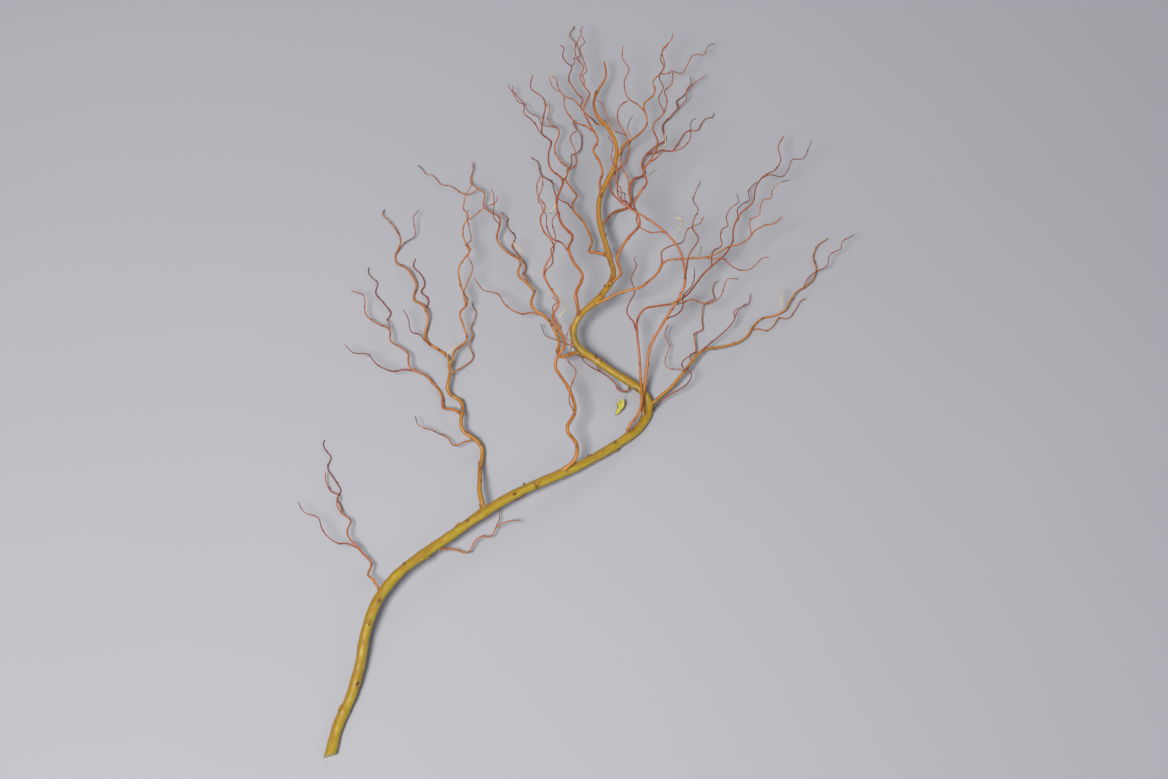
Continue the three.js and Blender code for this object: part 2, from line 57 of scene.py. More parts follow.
MM = 0.001
PLAN_CENTRE = (76, 196)  # the middle of the branch, in the frame that its routes are drawn in
STEP = 4  # distance between the centreline points of every axis
CUT_SLANT = 0.55  # slope of the cut across the butt end
UP = np.array([0.0, 0.0, 1.0])


def table(columns, rows):
    """Rows of values as dicts, by the names of their columns."""
    return [dict(zip(columns.split(), row)) for row in rows]


# Main stem: [x, y, z, radius] along its centreline, from the cut end to the tip.
STEM = [
    [-272, -388, 7.1, 7.8], [-262, -345, 7.9, 7.7], [-245, -303, 12, 7.6], [-234, -260, 18, 7.5],
    [-227, -215, 25, 7.4], [-212, -172, 30, 7.3], [-186, -135, 32, 7.2], [-152, -105, 31, 7.1],
    [-116, -78, 29, 7.0], [-79, -50, 29, 7.0], [-40, -23, 29, 6.9], [0, 0, 27, 6.9], [43, 21.5, 22, 6.8],
    [87, 46, 16, 6.7], [130, 75.5, 10.5, 6.6], [156.5, 97.5, 7.0, 6.6], [171, 119, 5.7, 6.6],
    [174, 137.5, 6.9, 6.4], [166, 155, 11, 6.2], [146, 169, 16, 6.0], [121.7, 182.6, 22, 5.8],
    [95.7, 199, 29, 5.5], [74, 213, 36, 5.2], [64.5, 227, 42, 4.9], [64.5, 243.5, 48, 4.8],
    [74, 260, 54, 4.7], [91.3, 276, 58, 4.6], [107, 293, 60, 4.5], [118.5, 310.5, 60, 4.4],
    [122.5, 329, 57, 4.3], [118.3, 350, 52, 4.2], [112, 379, 44, 4.1], [105, 409, 37, 4.0],
    [101, 436, 33, 3.9], [103, 465, 31, 3.7], [114, 492, 34, 3.5], [126, 518, 40, 3.3],
    [128, 547, 46, 3.1], [116, 574, 49, 2.8], [100, 598, 46, 2.5], [94, 625, 40, 2.2], [102, 651, 35, 1.9],
    [113, 675, 34, 1.6], [110, 700, 36, 1.2],
]

# Shoots with a drawn route: what they leave, at which share of its length, their radius at the fork and at
# the tip, the seed of their twigs, and the [x, y, z] points that they pass.
DRAWN_SHOOTS = table("name on at radius tip seed route", [
    ("bend_over_1", "stem", 0.4786, 2.1, 0.8, 3, [
        [143, 93.5, 16], [146.5, 101, 20.5], [153, 108, 23.5], [159, 117.5, 24.8], [162.5, 130, 25.5],
        [163.5, 141, 26], [163, 153, 27], [161.7, 169, 29], [161, 191, 35], [159, 213, 43],
        [156.5, 236, 51], [157.5, 252, 56], [168, 267, 60], [188, 272, 60], [212, 278, 58], [232, 294, 54],
        [243, 310, 52], [256, 329, 50], [270, 344, 48], [288, 362, 46], [300, 383, 45], [303, 408, 46],
        [314, 430, 49], [332, 447, 52], [337, 471, 53], [350, 492, 51], [368, 505, 47], [377, 524, 44],
        [374, 546, 43], [384, 566, 44],
    ]),
    ("bend_over_2", "stem", 0.5043, 2.5, 0.8, 6, [
        [165.5, 120, 13], [164.5, 129.5, 17.5], [165, 141, 19.5], [167.5, 157, 22.5], [169.7, 175, 27.5],
        [171.8, 190, 34.5], [174, 206, 44], [179.5, 219, 52], [189, 233, 62], [199, 247, 72],
        [209, 260, 82], [219, 273, 92], [225, 286, 100], [226, 300, 108], [223.5, 315, 116],
        [219.5, 329, 122], [213, 340, 126], [204, 349.5, 130], [193, 360, 134], [180, 369.5, 137],
        [165, 379, 140], [152, 386, 142], [141, 393, 144], [129, 403, 145], [119, 418, 144],
        [117, 437, 140], [127, 455, 137], [141, 470, 138], [146, 490, 143], [139, 511, 150],
        [129, 528, 155], [131, 549, 158], [146, 563, 157],
    ]),
    ("bend_right", "stem", 0.5214, 2.7, 0.8, 51, [
        [183, 141, 10], [192, 149, 12.5], [201, 156, 15], [210, 164.5, 17], [218.5, 175, 19],
        [227, 184.5, 20.5], [234, 194, 21], [241, 204, 21], [247, 212.5, 20], [254, 219, 18.5],
        [263, 223, 16.5], [275, 225.5, 14], [291, 230, 10.5], [308, 237, 7.5], [322, 249, 5.5],
        [331, 265, 4.6], [344, 277, 4.4], [361, 281, 5], [378, 289, 7], [387, 305, 9], [397, 319, 9.5],
        [411, 329, 7.5], [423, 342, 5], [428, 360, 4], [424, 379, 4], [431, 397, 4.8], [446, 409, 6],
    ]),
    ("bend_right_twig", "bend_right", 0.255, 1.1, 0.6, 4, [
        [265, 229.5, 20], [276, 238, 23], [290, 250, 26], [300, 262, 27], [306, 278, 27], [318, 290, 29],
    ]),
    ("bend_curl", "stem", 0.51, 1.25, 0.7, 3, [
        [178.5, 126, 8.8], [184, 131.5, 11.5], [190, 137.5, 14], [198, 144, 17], [209, 150.5, 20],
        [220, 156, 23], [229, 161, 26.5], [235, 168.5, 30], [236, 175, 33], [231, 180, 34],
        [225.5, 183, 34], [222.5, 189, 33.5], [224.5, 196, 32.5], [231, 202, 32], [240, 205.5, 33],
    ]),
    ("upper_right", "stem", 0.6705, 2.2, 0.8, 3, [
        [116, 283.5, 63], [128, 288.5, 68], [136, 290.5, 70], [148, 292, 72.5], [159, 294, 74.5],
        [168, 299, 76], [176, 306, 77], [184, 313, 78], [190, 322, 79], [195, 331, 80], [203, 336.5, 81],
        [216, 337.5, 82], [238, 338, 84], [261, 339.5, 86], [276, 345, 88], [291, 354, 89], [307, 359, 88],
        [321, 369, 85], [331, 384, 82], [346, 393, 81], [362, 397, 83], [374, 408, 85],
    ]),
    ("hook", "stem", 0.5527, 1.4, 0.7, 7, [
        [143.5, 158, 12.5], [137, 155.5, 11.5], [130.5, 158.5, 12.5], [126.5, 165, 14], [121.5, 171, 15.5],
        [113.5, 177.5, 18], [104, 183, 21], [94, 187, 24], [84, 193, 26], [77, 202, 26], [74, 212, 27],
    ]),
])

# Shoots that grow by rule: side is the angle round their parent at which they leave it (0 right, 90 up),
# fork the angle that they make with it, aim the direction that they then keep to, curl the slope of their
# turns, period the length of one turn, phase where the first turn starts, and seed sets their twigs.
GROWN_SHOOTS = table("name on at side fork aim length radius curl period phase seed", [
    ("low_left", "stem", 0.168, 200, 50, [-0.4, 0.9, -0.1], 240, 1.8, 0.62, 72, 0.4, 1),
    ("low_right", "stem", 0.238, -20, 44, [0.84, 0.54, 0.02], 150, 1.4, 0.55, 60, 2.9, 3),
    ("side", "stem", 0.301, 165, 42, [-0.34, 0.93, -0.06], 600, 3.6, 0.62, 100, 2.1, 19),
    ("side_left", "side", 0.3, 190, 46, [-0.62, 0.8, 0.05], 300, 1.9, 0.62, 76, 1.1, 1),
    ("side_right", "side", 0.45, 40, 44, [0.02, 0.97, 0.22], 330, 1.9, 0.62, 80, 3.6, 15),
    ("middle", "stem", 0.392, 105, 48, [-0.12, 0.95, 0.25], 520, 3.0, 0.64, 96, 4.4, 14),
    ("bend_left_1", "stem", 0.613, 190, 52, [-0.4, 0.92, -0.06], 460, 2.8, 0.66, 86, 1.2, 1),
    ("bend_left_2", "stem", 0.652, 110, 45, [-0.22, 0.94, 0.22], 430, 2.5, 0.62, 88, 3.3, 2),
    ("upper_over", "stem", 0.702, 70, 45, [0.24, 0.9, 0.3], 380, 2.3, 0.62, 80, 5.6, 3),
    ("upper_left", "stem", 0.742, 205, 48, [-0.24, 0.95, -0.08], 350, 2.2, 0.6, 76, 0.9, 3),
    ("top_right_1", "stem", 0.781, -25, 45, [0.42, 0.9, -0.06], 350, 2.2, 0.62, 78, 2.7, 1),
    ("top_left_1", "stem", 0.826, 140, 42, [-0.16, 0.95, 0.2], 280, 2.0, 0.6, 72, 4.0, 1),
    ("top_right_2", "stem", 0.868, 15, 45, [0.3, 0.94, 0.1], 250, 1.8, 0.6, 68, 1.8, 1),
    ("top_left_2", "stem", 0.912, 215, 42, [-0.28, 0.94, 0.0], 190, 1.5, 0.58, 60, 3.9, 2),
])

# How a shoot grows: the distance over which it turns from its fork to its aim, the radius at its end, its
# least height above the surface, and how near that height it starts to bend level.
GROWTH = dict(fork_turn=68, tip=0.7, clearance=2, softness=7)
PRESSED = {"side": -1.4}  # that of the shoot that lies on the surface, below 0 as it is cut flat there

# How a shoot sways about its aim. Its turns tighten towards the tip, keep an uneven pace that wanders at a
# rate of its own, and set in over a share of the first. Sideways it follows a wave and a smaller one, given
# by size and rate, and up and down two more.
SWAY = dict(
    tighter=0.3, uneven=0.3, wander=0.41, onset=0.4, level=(0.4, 1.9), rise=((0.8, 0.83), (0.3, 2.2))
)

# Twigs: their spacing, the shares of a shoot between which they stand, how far each turns on round it and
# sways from that, their radius at the tip, the most that it may be of the shoot's at the fork, and the
# share of its length that one at the shoot's tip loses. The rest is drawn from ranges: along and away are
# how much a twig keeps to the shoot's course and to its own.
TWIGS = dict(spacing=97, first=0.16, last=0.93, turn=144, sway=25, tip=0.6, thinner=0.8, shorter=0.4)
TWIG_RANGES = dict(
    fork=(34, 54), along=(0.9, 1.5), away=(0.5, 1.0), length=(85, 200), radius=(0.95, 1.3),
    curl=(0.45, 0.72), period=(44, 70), phase=(0, 2 * math.pi),
)

# Leaves: the shoot that each hangs on, the share of its length, the side that it leaves on, the angle that
# it makes with it, its length and width, how far it curls up along its length and how far it turns about
# it, in degrees.
LEAVES = table("name on at side fork length width curl turn", [
    ("yellow_leaf", "hook", 0.15, 180, 54, 37, 13, -20, 40),
    ("green_leaf_1", "bend_over_1", 0.4, 60, 50, 22, 4.5, 70, 40),
    ("green_leaf_2", "upper_right", 0.55, 120, 55, 20, 4, 60, -60),
    ("green_leaf_3", "upper_over", 0.5, 30, 50, 24, 4.5, 80, 50),
    ("dried_leaf_1", "bend_over_2", 0.5, 20, 60, 62, 4, 260, 240),
    ("dried_leaf_2", "bend_right", 0.62, 100, 55, 54, 3.6, 220, -200),
    ("dried_leaf_3", "side", 0.45, 100, 60, 58, 3.8, 250, 220),
    ("dried_leaf_4", "bend_left_1", 0.5, 80, 60, 50, 3.4, 230, -260),
    ("dried_leaf_5", "bend_left_2", 0.42, 140, 55, 66, 4, 280, 250),
    ("dried_leaf_6", "upper_left", 0.5, 120, 60, 52, 3.6, 240, 200),
    ("dried_leaf_7", "top_right_1", 0.55, 40, 55, 60, 3.8, 260, -230),
    ("dried_leaf_8", "middle", 0.5, 60, 60, 46, 3.4, 210, 220),
])

# What the leaves of a kind share: lean is how far the blade lies over about its stalk and cup how far it
# bends up across, in degrees, stalk the share of the length that the stalk takes, wave the height of the
# margin's waves, and teeth the depth of its teeth as a share of the width. One kind is torn.
LEAF_KINDS = {
    "yellow_leaf": dict(lean=60, stalk=0.28, cup=38, wave=0.7, teeth=0.05, torn=True),
    "green_leaf": dict(lean=0, stalk=0.14, cup=48, wave=0.25, teeth=0.05, torn=False),
    "dried_leaf": dict(lean=0, stalk=0.14, cup=110, wave=0.35, teeth=0.03, torn=False),
}

# The solid blade: how far its stalk ends off the bark, its thickness, the share of the bark's radius at
# which its facets lie, its stations, how far its widest place is drawn to the stalk, and how full it is.
LEAF = dict(gap=0.3, thickness=0.6, flat=0.92, stations=12, skew=0.8, fullness=0.8)

# ---- Growth: the same rules as in the CAD source ----


def unit(v):
    return v / np.linalg.norm(v, axis=-1, keepdims=True)


def smoothstep(x, low, high):
    t = np.clip((x - low) / (high - low), 0, 1)
    return t * t * (3 - 2 * t)


def draws_from(seed):
    """Draws between low and high that come out the same every time."""
    state = seed * 7919

    def draw(low, high):
        nonlocal state
        state = state * 16807 % 2147483647
        return low + (high - low) * state / 2147483647

    return draw


def square_to(heading):
    """The two directions square to a heading: level and to its right, and upwards from it."""
    n1 = unit(np.cross(heading, UP))
    return n1, np.cross(n1, heading)


class Axis:
    """A centreline with a radius at each of its points, which lie STEP apart."""

    def __init__(self, name, points, radii, kind, parent=None, root=0):
        self.name = name
        self.points = np.array(points, float)
        self.radii = np.array(radii, float)
        self.kind = kind
        self.parent = parent
        self.root = root
        self.forks = []
        if parent is not None:
            parent.forks.append((root, self))

    @property
    def last(self):
        return len(self.points) - 1


def index_on(axis, at):
    return math.floor(at * axis.last + 0.5)


def heading_on(axis, index):
    return unit(axis.points[min(index + 1, axis.last)] - axis.points[max(index - 1, 0)])


def seat_on(axis, at, side):
    """The index and the heading at a share of an axis, and the direction out of it on a side."""
    index = index_on(axis, at)
    heading = heading_on(axis, index)
    return index, heading, fork_from(heading, side, 90)


def fork_from(heading, side, fork):
    """The direction that leaves a heading at an angle fork, on the side given by an angle round it."""
    n1, n2 = square_to(heading)
    side, fork = math.radians(side), math.radians(fork)
    return heading * math.cos(fork) + math.sin(fork) * (n1 * math.cos(side) + n2 * math.sin(side))


def spline(knots, per_span):
    """Points of a centripetal Catmull-Rom curve through knots, per_span to a span."""
    knots = np.array(knots, float)
    ends = [2 * knots[0] - knots[1], 2 * knots[-1] - knots[-2]]
    around = np.vstack([ends[:1], knots, ends[1:]])
    w = (np.arange(per_span) / per_span)[:, None]
    made = []
    for i in range(len(knots) - 1):
        p0, p1, p2, p3 = around[i : i + 4]
        d0, d1, d2 = (math.sqrt(math.dist(a, b)) for a, b in ((p0, p1), (p1, p2), (p2, p3)))
        t1 = ((p1 - p0) / d0 - (p2 - p0) / (d0 + d1) + (p2 - p1) / d1) * d1
        t2 = ((p2 - p1) / d1 - (p3 - p1) / (d1 + d2) + (p3 - p2) / d2) * d1
        made.append(p1 + t1 * w + (3 * (p2 - p1) - 2 * t1 - t2) * w**2 + (2 * (p1 - p2) + t1 + t2) * w**3)
    return np.vstack([*made, knots[-1:]])


def drawn_axis(knots):
    """The points, STEP apart, and the radii of a curve through knots of [x, y, z, radius]."""
    per_span = 24
    fine = spline([k[:3] for k in knots], per_span)
    points, radii = [fine[0]], [knots[0][3]]
    walked = 0.0
    for i in range(1, len(fine)):
        gap = math.dist(fine[i - 1], fine[i])
        walked += gap
        if walked >= STEP:
            share = 1 - (walked - STEP) / gap
            t = (i - 1 + share) / per_span
            k = min(math.floor(t), len(knots) - 2)
            points.append(fine[i - 1] + (fine[i] - fine[i - 1]) * share)
            radii.append(knots[k][3] + (knots[k + 1][3] - knots[k][3]) * (t - k))
            walked -= STEP
    return points, radii


def grown_axis(root, out, aim, length, radius, tip, curl, period, phase, clearance=GROWTH["clearance"]):
    """The points and radii of a shoot that grows from root and sways about its aim in two directions."""
    count = math.floor(length / STEP + 0.5)
    points, radii = [root], [radius]
    turn = phase
    lesser, pace = SWAY["level"]
    (first, first_pace), (second, second_pace) = SWAY["rise"]
    for i in range(1, count + 1):
        s = i * STEP
        share = i / count
        thick = radius + (tip - radius) * share
        mean = unit(out + (aim - out) * smoothstep(s, 0, GROWTH["fork_turn"]))
        n1, n2 = square_to(mean)
        rate = 2 * math.pi / (period * (1 - SWAY["tighter"] * share))
        turn += rate * STEP * (1 + SWAY["uneven"] * math.sin(turn * SWAY["wander"] + phase))
        swing = curl * min(1, s / (period * SWAY["onset"]))
        level = swing * (math.cos(turn) + lesser * math.cos(pace * turn + 2 * phase))
        rise = swing * (first * math.sin(first_pace * turn) + second * math.sin(second_pace * turn + phase))
        heading = unit(mean + n1 * level + n2 * rise)
        room = points[-1][2] - thick - clearance
        if heading[2] < 0:
            heading[2] *= min(1, max(0, room) / GROWTH["softness"])
        points.append(points[-1] + unit(heading) * STEP)
        radii.append(thick)
    return points, radii


def drawn_shoot(parent, row):
    root = index_on(parent, row["at"])
    knots = [parent.points[root], *row["route"]]
    shrink = (row["tip"] - row["radius"]) / (len(knots) - 1)
    points, radii = drawn_axis([[*p, row["radius"] + shrink * i] for i, p in enumerate(knots)])
    return Axis(row["name"], points, radii, "shoot", parent, root)


def grown_shoot(parent, row):
    root = index_on(parent, row["at"])
    out = fork_from(heading_on(parent, root), row["side"], row["fork"])
    aim = unit(np.array(row["aim"], float))
    rule = {name: row[name] for name in ("length", "radius", "curl", "period", "phase")}
    rule["clearance"] = PRESSED.get(row["name"], GROWTH["clearance"])
    points, radii = grown_axis(parent.points[root], out, aim, tip=GROWTH["tip"], **rule)
    return Axis(row["name"], points, radii, "shoot", parent, root)


def twigs_of(shoot, seed):
    """The twigs of one shoot, each further round it than the last."""
    draw = draws_from(seed)
    bare, leafy = TWIGS["first"], TWIGS["last"] - TWIGS["first"]
    count = math.floor(shoot.last * STEP * leafy / TWIGS["spacing"] + 0.5)
    overall = unit(shoot.points[-1] - shoot.points[0])
    side = draw(0, 360)
    made = []
    for i in range(count):
        at = bare + leafy * (i + draw(0.2, 0.8)) / count
        root = index_on(shoot, at)
        side += TWIGS["turn"] + draw(-TWIGS["sway"], TWIGS["sway"])
        rule = {name: draw(*ends) for name, ends in TWIG_RANGES.items()}
        out = fork_from(heading_on(shoot, root), side, rule.pop("fork"))
        aim = unit(overall * rule.pop("along") + out * rule.pop("away"))
        rule["length"] *= 1 - TWIGS["shorter"] * at
        rule["radius"] = min(rule["radius"], shoot.radii[root] * TWIGS["thinner"])
        points, radii = grown_axis(shoot.points[root], out, aim, tip=TWIGS["tip"], **rule)
        made.append(Axis(f"{shoot.name}_twig_{i + 1}", points, radii, "twig", shoot, root))
    return made


def grow():
    """The stem and its shoots by name, and their twigs."""
    axes = {"stem": Axis("stem", *drawn_axis(STEM), "stem")}
    for row in DRAWN_SHOOTS:
        axes[row["name"]] = drawn_shoot(axes[row["on"]], row)
    for row in GROWN_SHOOTS:
        axes[row["name"]] = grown_shoot(axes[row["on"]], row)
    twigs = []
    for row in DRAWN_SHOOTS + GROWN_SHOOTS:
        twigs += twigs_of(axes[row["name"]], row["seed"])
    return axes, twigs


# ---- Buds: where they sit ----

# The stem's buds, as in the CAD source: their spacing, how far each turns on, the thinnest wood that has
# one, and their length. Those of shoots and twigs: their least length and its gain with the wood's radius,
# how far each turns on and sways from that, how many steps apart they sit, and how much closer at the tip.
STEM_BUDS = dict(spacing=62, turn=144, thinnest=1.6, length=7.5)
SHOOT_BUDS = dict(length=3.0, gain=0.62, turn=144, sway=20, apart=(6.5, 10), closer=0.3)


class Bud:
    """A bud at a distance s along an axis, leaving it in the direction out."""

    def __init__(self, axis, index, side):
        self.s = index * STEP
        self.point = axis.points[index]
        self.radius = axis.radii[index]
        self.heading = heading_on(axis, index)
        self.out = fork_from(self.heading, side, 90)
        self.length = STEM_BUDS["length"]
        if axis.kind != "stem":
            self.length = SHOOT_BUDS["length"] + SHOOT_BUDS["gain"] * self.radius


def stem_buds(stem):
    """The buds of the stem, where the CAD source has them."""
    every = math.floor(STEM_BUDS["spacing"] / STEP + 0.5)
    places = range(every, stem.last, every)
    turn = STEM_BUDS["turn"] / every
    return [Bud(stem, i, turn * i) for i in places if stem.radii[i] > STEM_BUDS["thinnest"]]


def shoot_buds(axis, number):
    """Buds round a shoot or twig, a little closer together towards its tip, clear of its forks."""
    draw = draws_from(number + 11)
    side = draw(0, 360)
    index = 4 + draw(0, 4)
    buds = []
    while index < axis.last - 1:
        place = round(index)
        side += SHOOT_BUDS["turn"] + draw(-SHOOT_BUDS["sway"], SHOOT_BUDS["sway"])
        if all(abs(place - root) > 2 for root, _ in axis.forks):
            buds.append(Bud(axis, place, side))
        index += draw(*SHOOT_BUDS["apart"]) * (1 - SHOOT_BUDS["closer"] * index / axis.last)
    return buds


# ---- Wood ----

RING = 2.0  # distance between the rings of the fine tubes
SIDES = {"stem": 26, "shoot": 10, "twig": 8}
FILLET = dict(least=1.4, share=1.7)  # reach of the fillet at a fork, and how much it grows with the shoot
SHRUNK = 0.16  # how much thinner the wood is where its bark has died
CUT_REACH = 13  # length of stem over which the slant of the cut dies out
CAP_SHARES = (0.955, 0.9, 0.72, 0.54, 0.36, 0.2, 0.1)  # widths of the rings that close the cut end
SEAM = 0.003  # a place further than this from every tube's own vertices lies where two tubes meet
SOFTENING = dict(rounds=7, pull=0.5, full=0.6, reach=1.6, with_girth=0.55)  # of the skin round the seams

# The rings that round off a tip: how far beyond it they lie and how wide they are, both in its radii, and
# how far its point lies beyond the last.
TIP_RINGS = ((0.45, 0.9), (0.9, 0.62), (1.25, 0.3))
TIP_POINT = 0.25

# Where a shoot leaves the wood it widens, besides its fillet, and has a dark or pale mark a little further
# on. Each reaches as far as a share of the shoot's radius and a least distance more.
COLLAR = dict(share=1.2, least=1.0)
COLLAR_SIZE = 0.12
FOOT_MARK = dict(share=0.8, least=0.8, further=0.5)
FOOT_DARK, FOOT_PALE = 0.62, -0.8

# How the wood swells and darkens at its buds, at the leaf scars below them, at forks, in their crotches and
# at scars. Each is a bump with a length along the wood, the narrower round it the higher tight is.
BUD_SWELL = dict(size=0.13, more_if_thin=0.1, length=2.6, tight=1.5)
LEAF_SCAR = dict(dark=0.75, below=1.5, length=1.5, tight=4)
FORK_SWELL = dict(size=0.16, length=1.6, least=1, tight=1.2)
CROTCH = dict(dark=0.6, beyond=1.6, length=0.8, tight=2.5)
SCAR = dict(dark=1.1, tight=9)

# Dark scars in the bark: share of the axis, angle round it, length.
SCARS = {
    "stem": (
        (0.162, 60, 3.0), (0.285, 110, 2.5), (0.366, 40, 3.0), (0.462, 108, 2.6), (0.545, 150, 3.2),
        (0.597, 60, 2.4), (0.688, 100, 2.6),
    ),
    "side": ((0.2, 80, 2.5), (0.37, 110, 2.0)),
    "middle": ((0.13, 90, 2.0), (0.33, 60, 2.2)),
}

# Shoots whose foot is black, and for how far, one that darkens along a stretch, how much and how fast, and
# those whose foot is pale.
BLACK_FEET = {"bend_curl": 34, "hook": 9}
DARK_STRETCH = {"bend_curl": dict(start=64, end=96, dark=0.55, fade=9)}
PALE_FEET = ("bend_right", "upper_right", "middle")

# Of the twigs, the share whose tip has died and the share with a dead stretch, how far that reaches and
# the share of the reach at which it starts to fade.
DEAD_TIPS = dict(share=0.3, reach=(6, 30), full=0.7)
DEAD_STRETCHES = dict(share=0.16, middle=(0.25, 0.7), reach=(5, 11), full=0.6, dark=0.9)

# How red, about -1 to 1, the shoots are whose colour the eye picks out; the others are drawn.
TONES = {
    "stem": 0.0, "bend_right": -1.4, "bend_over_1": 0.25, "bend_over_2": 0.1, "bend_curl": 1.0,
    "hook": 1.4, "bend_right_twig": 0.8, "side": -0.5, "middle": -0.2,
}


def finer(values):
    """Values at twice as many places, the new ones on a smooth curve through their neighbours."""
    p = np.asarray(values, float)
    before = np.concatenate([[2 * p[0] - p[1]], p[:-2]])
    after = np.concatenate([p[2:], [2 * p[-1] - p[-2]]])
    made = np.empty((2 * len(p) - 1, *p.shape[1:]))
    made[0::2] = p
    made[1::2] = (9 * (p[:-1] + p[1:]) - before - after) / 16
    return made


def fine_rings(axis):
    """The middle of each ring of an axis, a few more of them closing its tip, its radius and how far along
    the axis it is."""
    points, radii = finer(axis.points), finer(axis.radii)
    steps, shares = np.array(TIP_RINGS).T
    beyond = steps * radii[-1]
    heading = unit(points[-1] - points[-2])
    s = np.arange(len(points)) * RING
    points = np.vstack([points, points[-1] + np.outer(beyond, heading)])
    return points, np.concatenate([radii, shares * radii[-1]]), np.concatenate([s, s[-1] + beyond])


def transport(points):
    """The heading and two directions across it at each point, turned as little as possible."""
    ahead = np.vstack([points[1:], points[-1:]])
    behind = np.vstack([points[:1], points[:-1]])
    headings = unit(ahead - behind)
    across = square_to(headings[0])[0]
    rows = []
    for heading in headings:
        across = unit(across - heading * (across @ heading))
        rows.append(across)
    rows = np.array(rows)
    return headings, rows, np.cross(rows, headings)


def grid_faces(rows, columns):
    """Quads of a closed tube of rings, row after row of columns vertices."""
    i, k = np.meshgrid(np.arange(rows - 1), np.arange(columns), indexing="ij")
    here = i * columns
    there = here + columns
    after = (k + 1) % columns
    return np.stack([here + k, here + after, there + after, there + k], -1).reshape(-1, 4)


def fillet(places, points, radii, reach):
    """How far the skin at each place is drawn out to meet a tube that it grows together with."""
    away = places[:, None] - points[:-1]
    span = np.diff(points, axis=0)
    t = np.clip((away * span).sum(-1) / (span * span).sum(-1), 0, 1)
    off = np.linalg.norm(away - t[..., None] * span, axis=-1)
    near = np.abs((off - radii[:-1] - t * np.diff(radii)).min(1))
    return reach / 4 * np.clip(1 - near / reach, 0, 1) ** 2


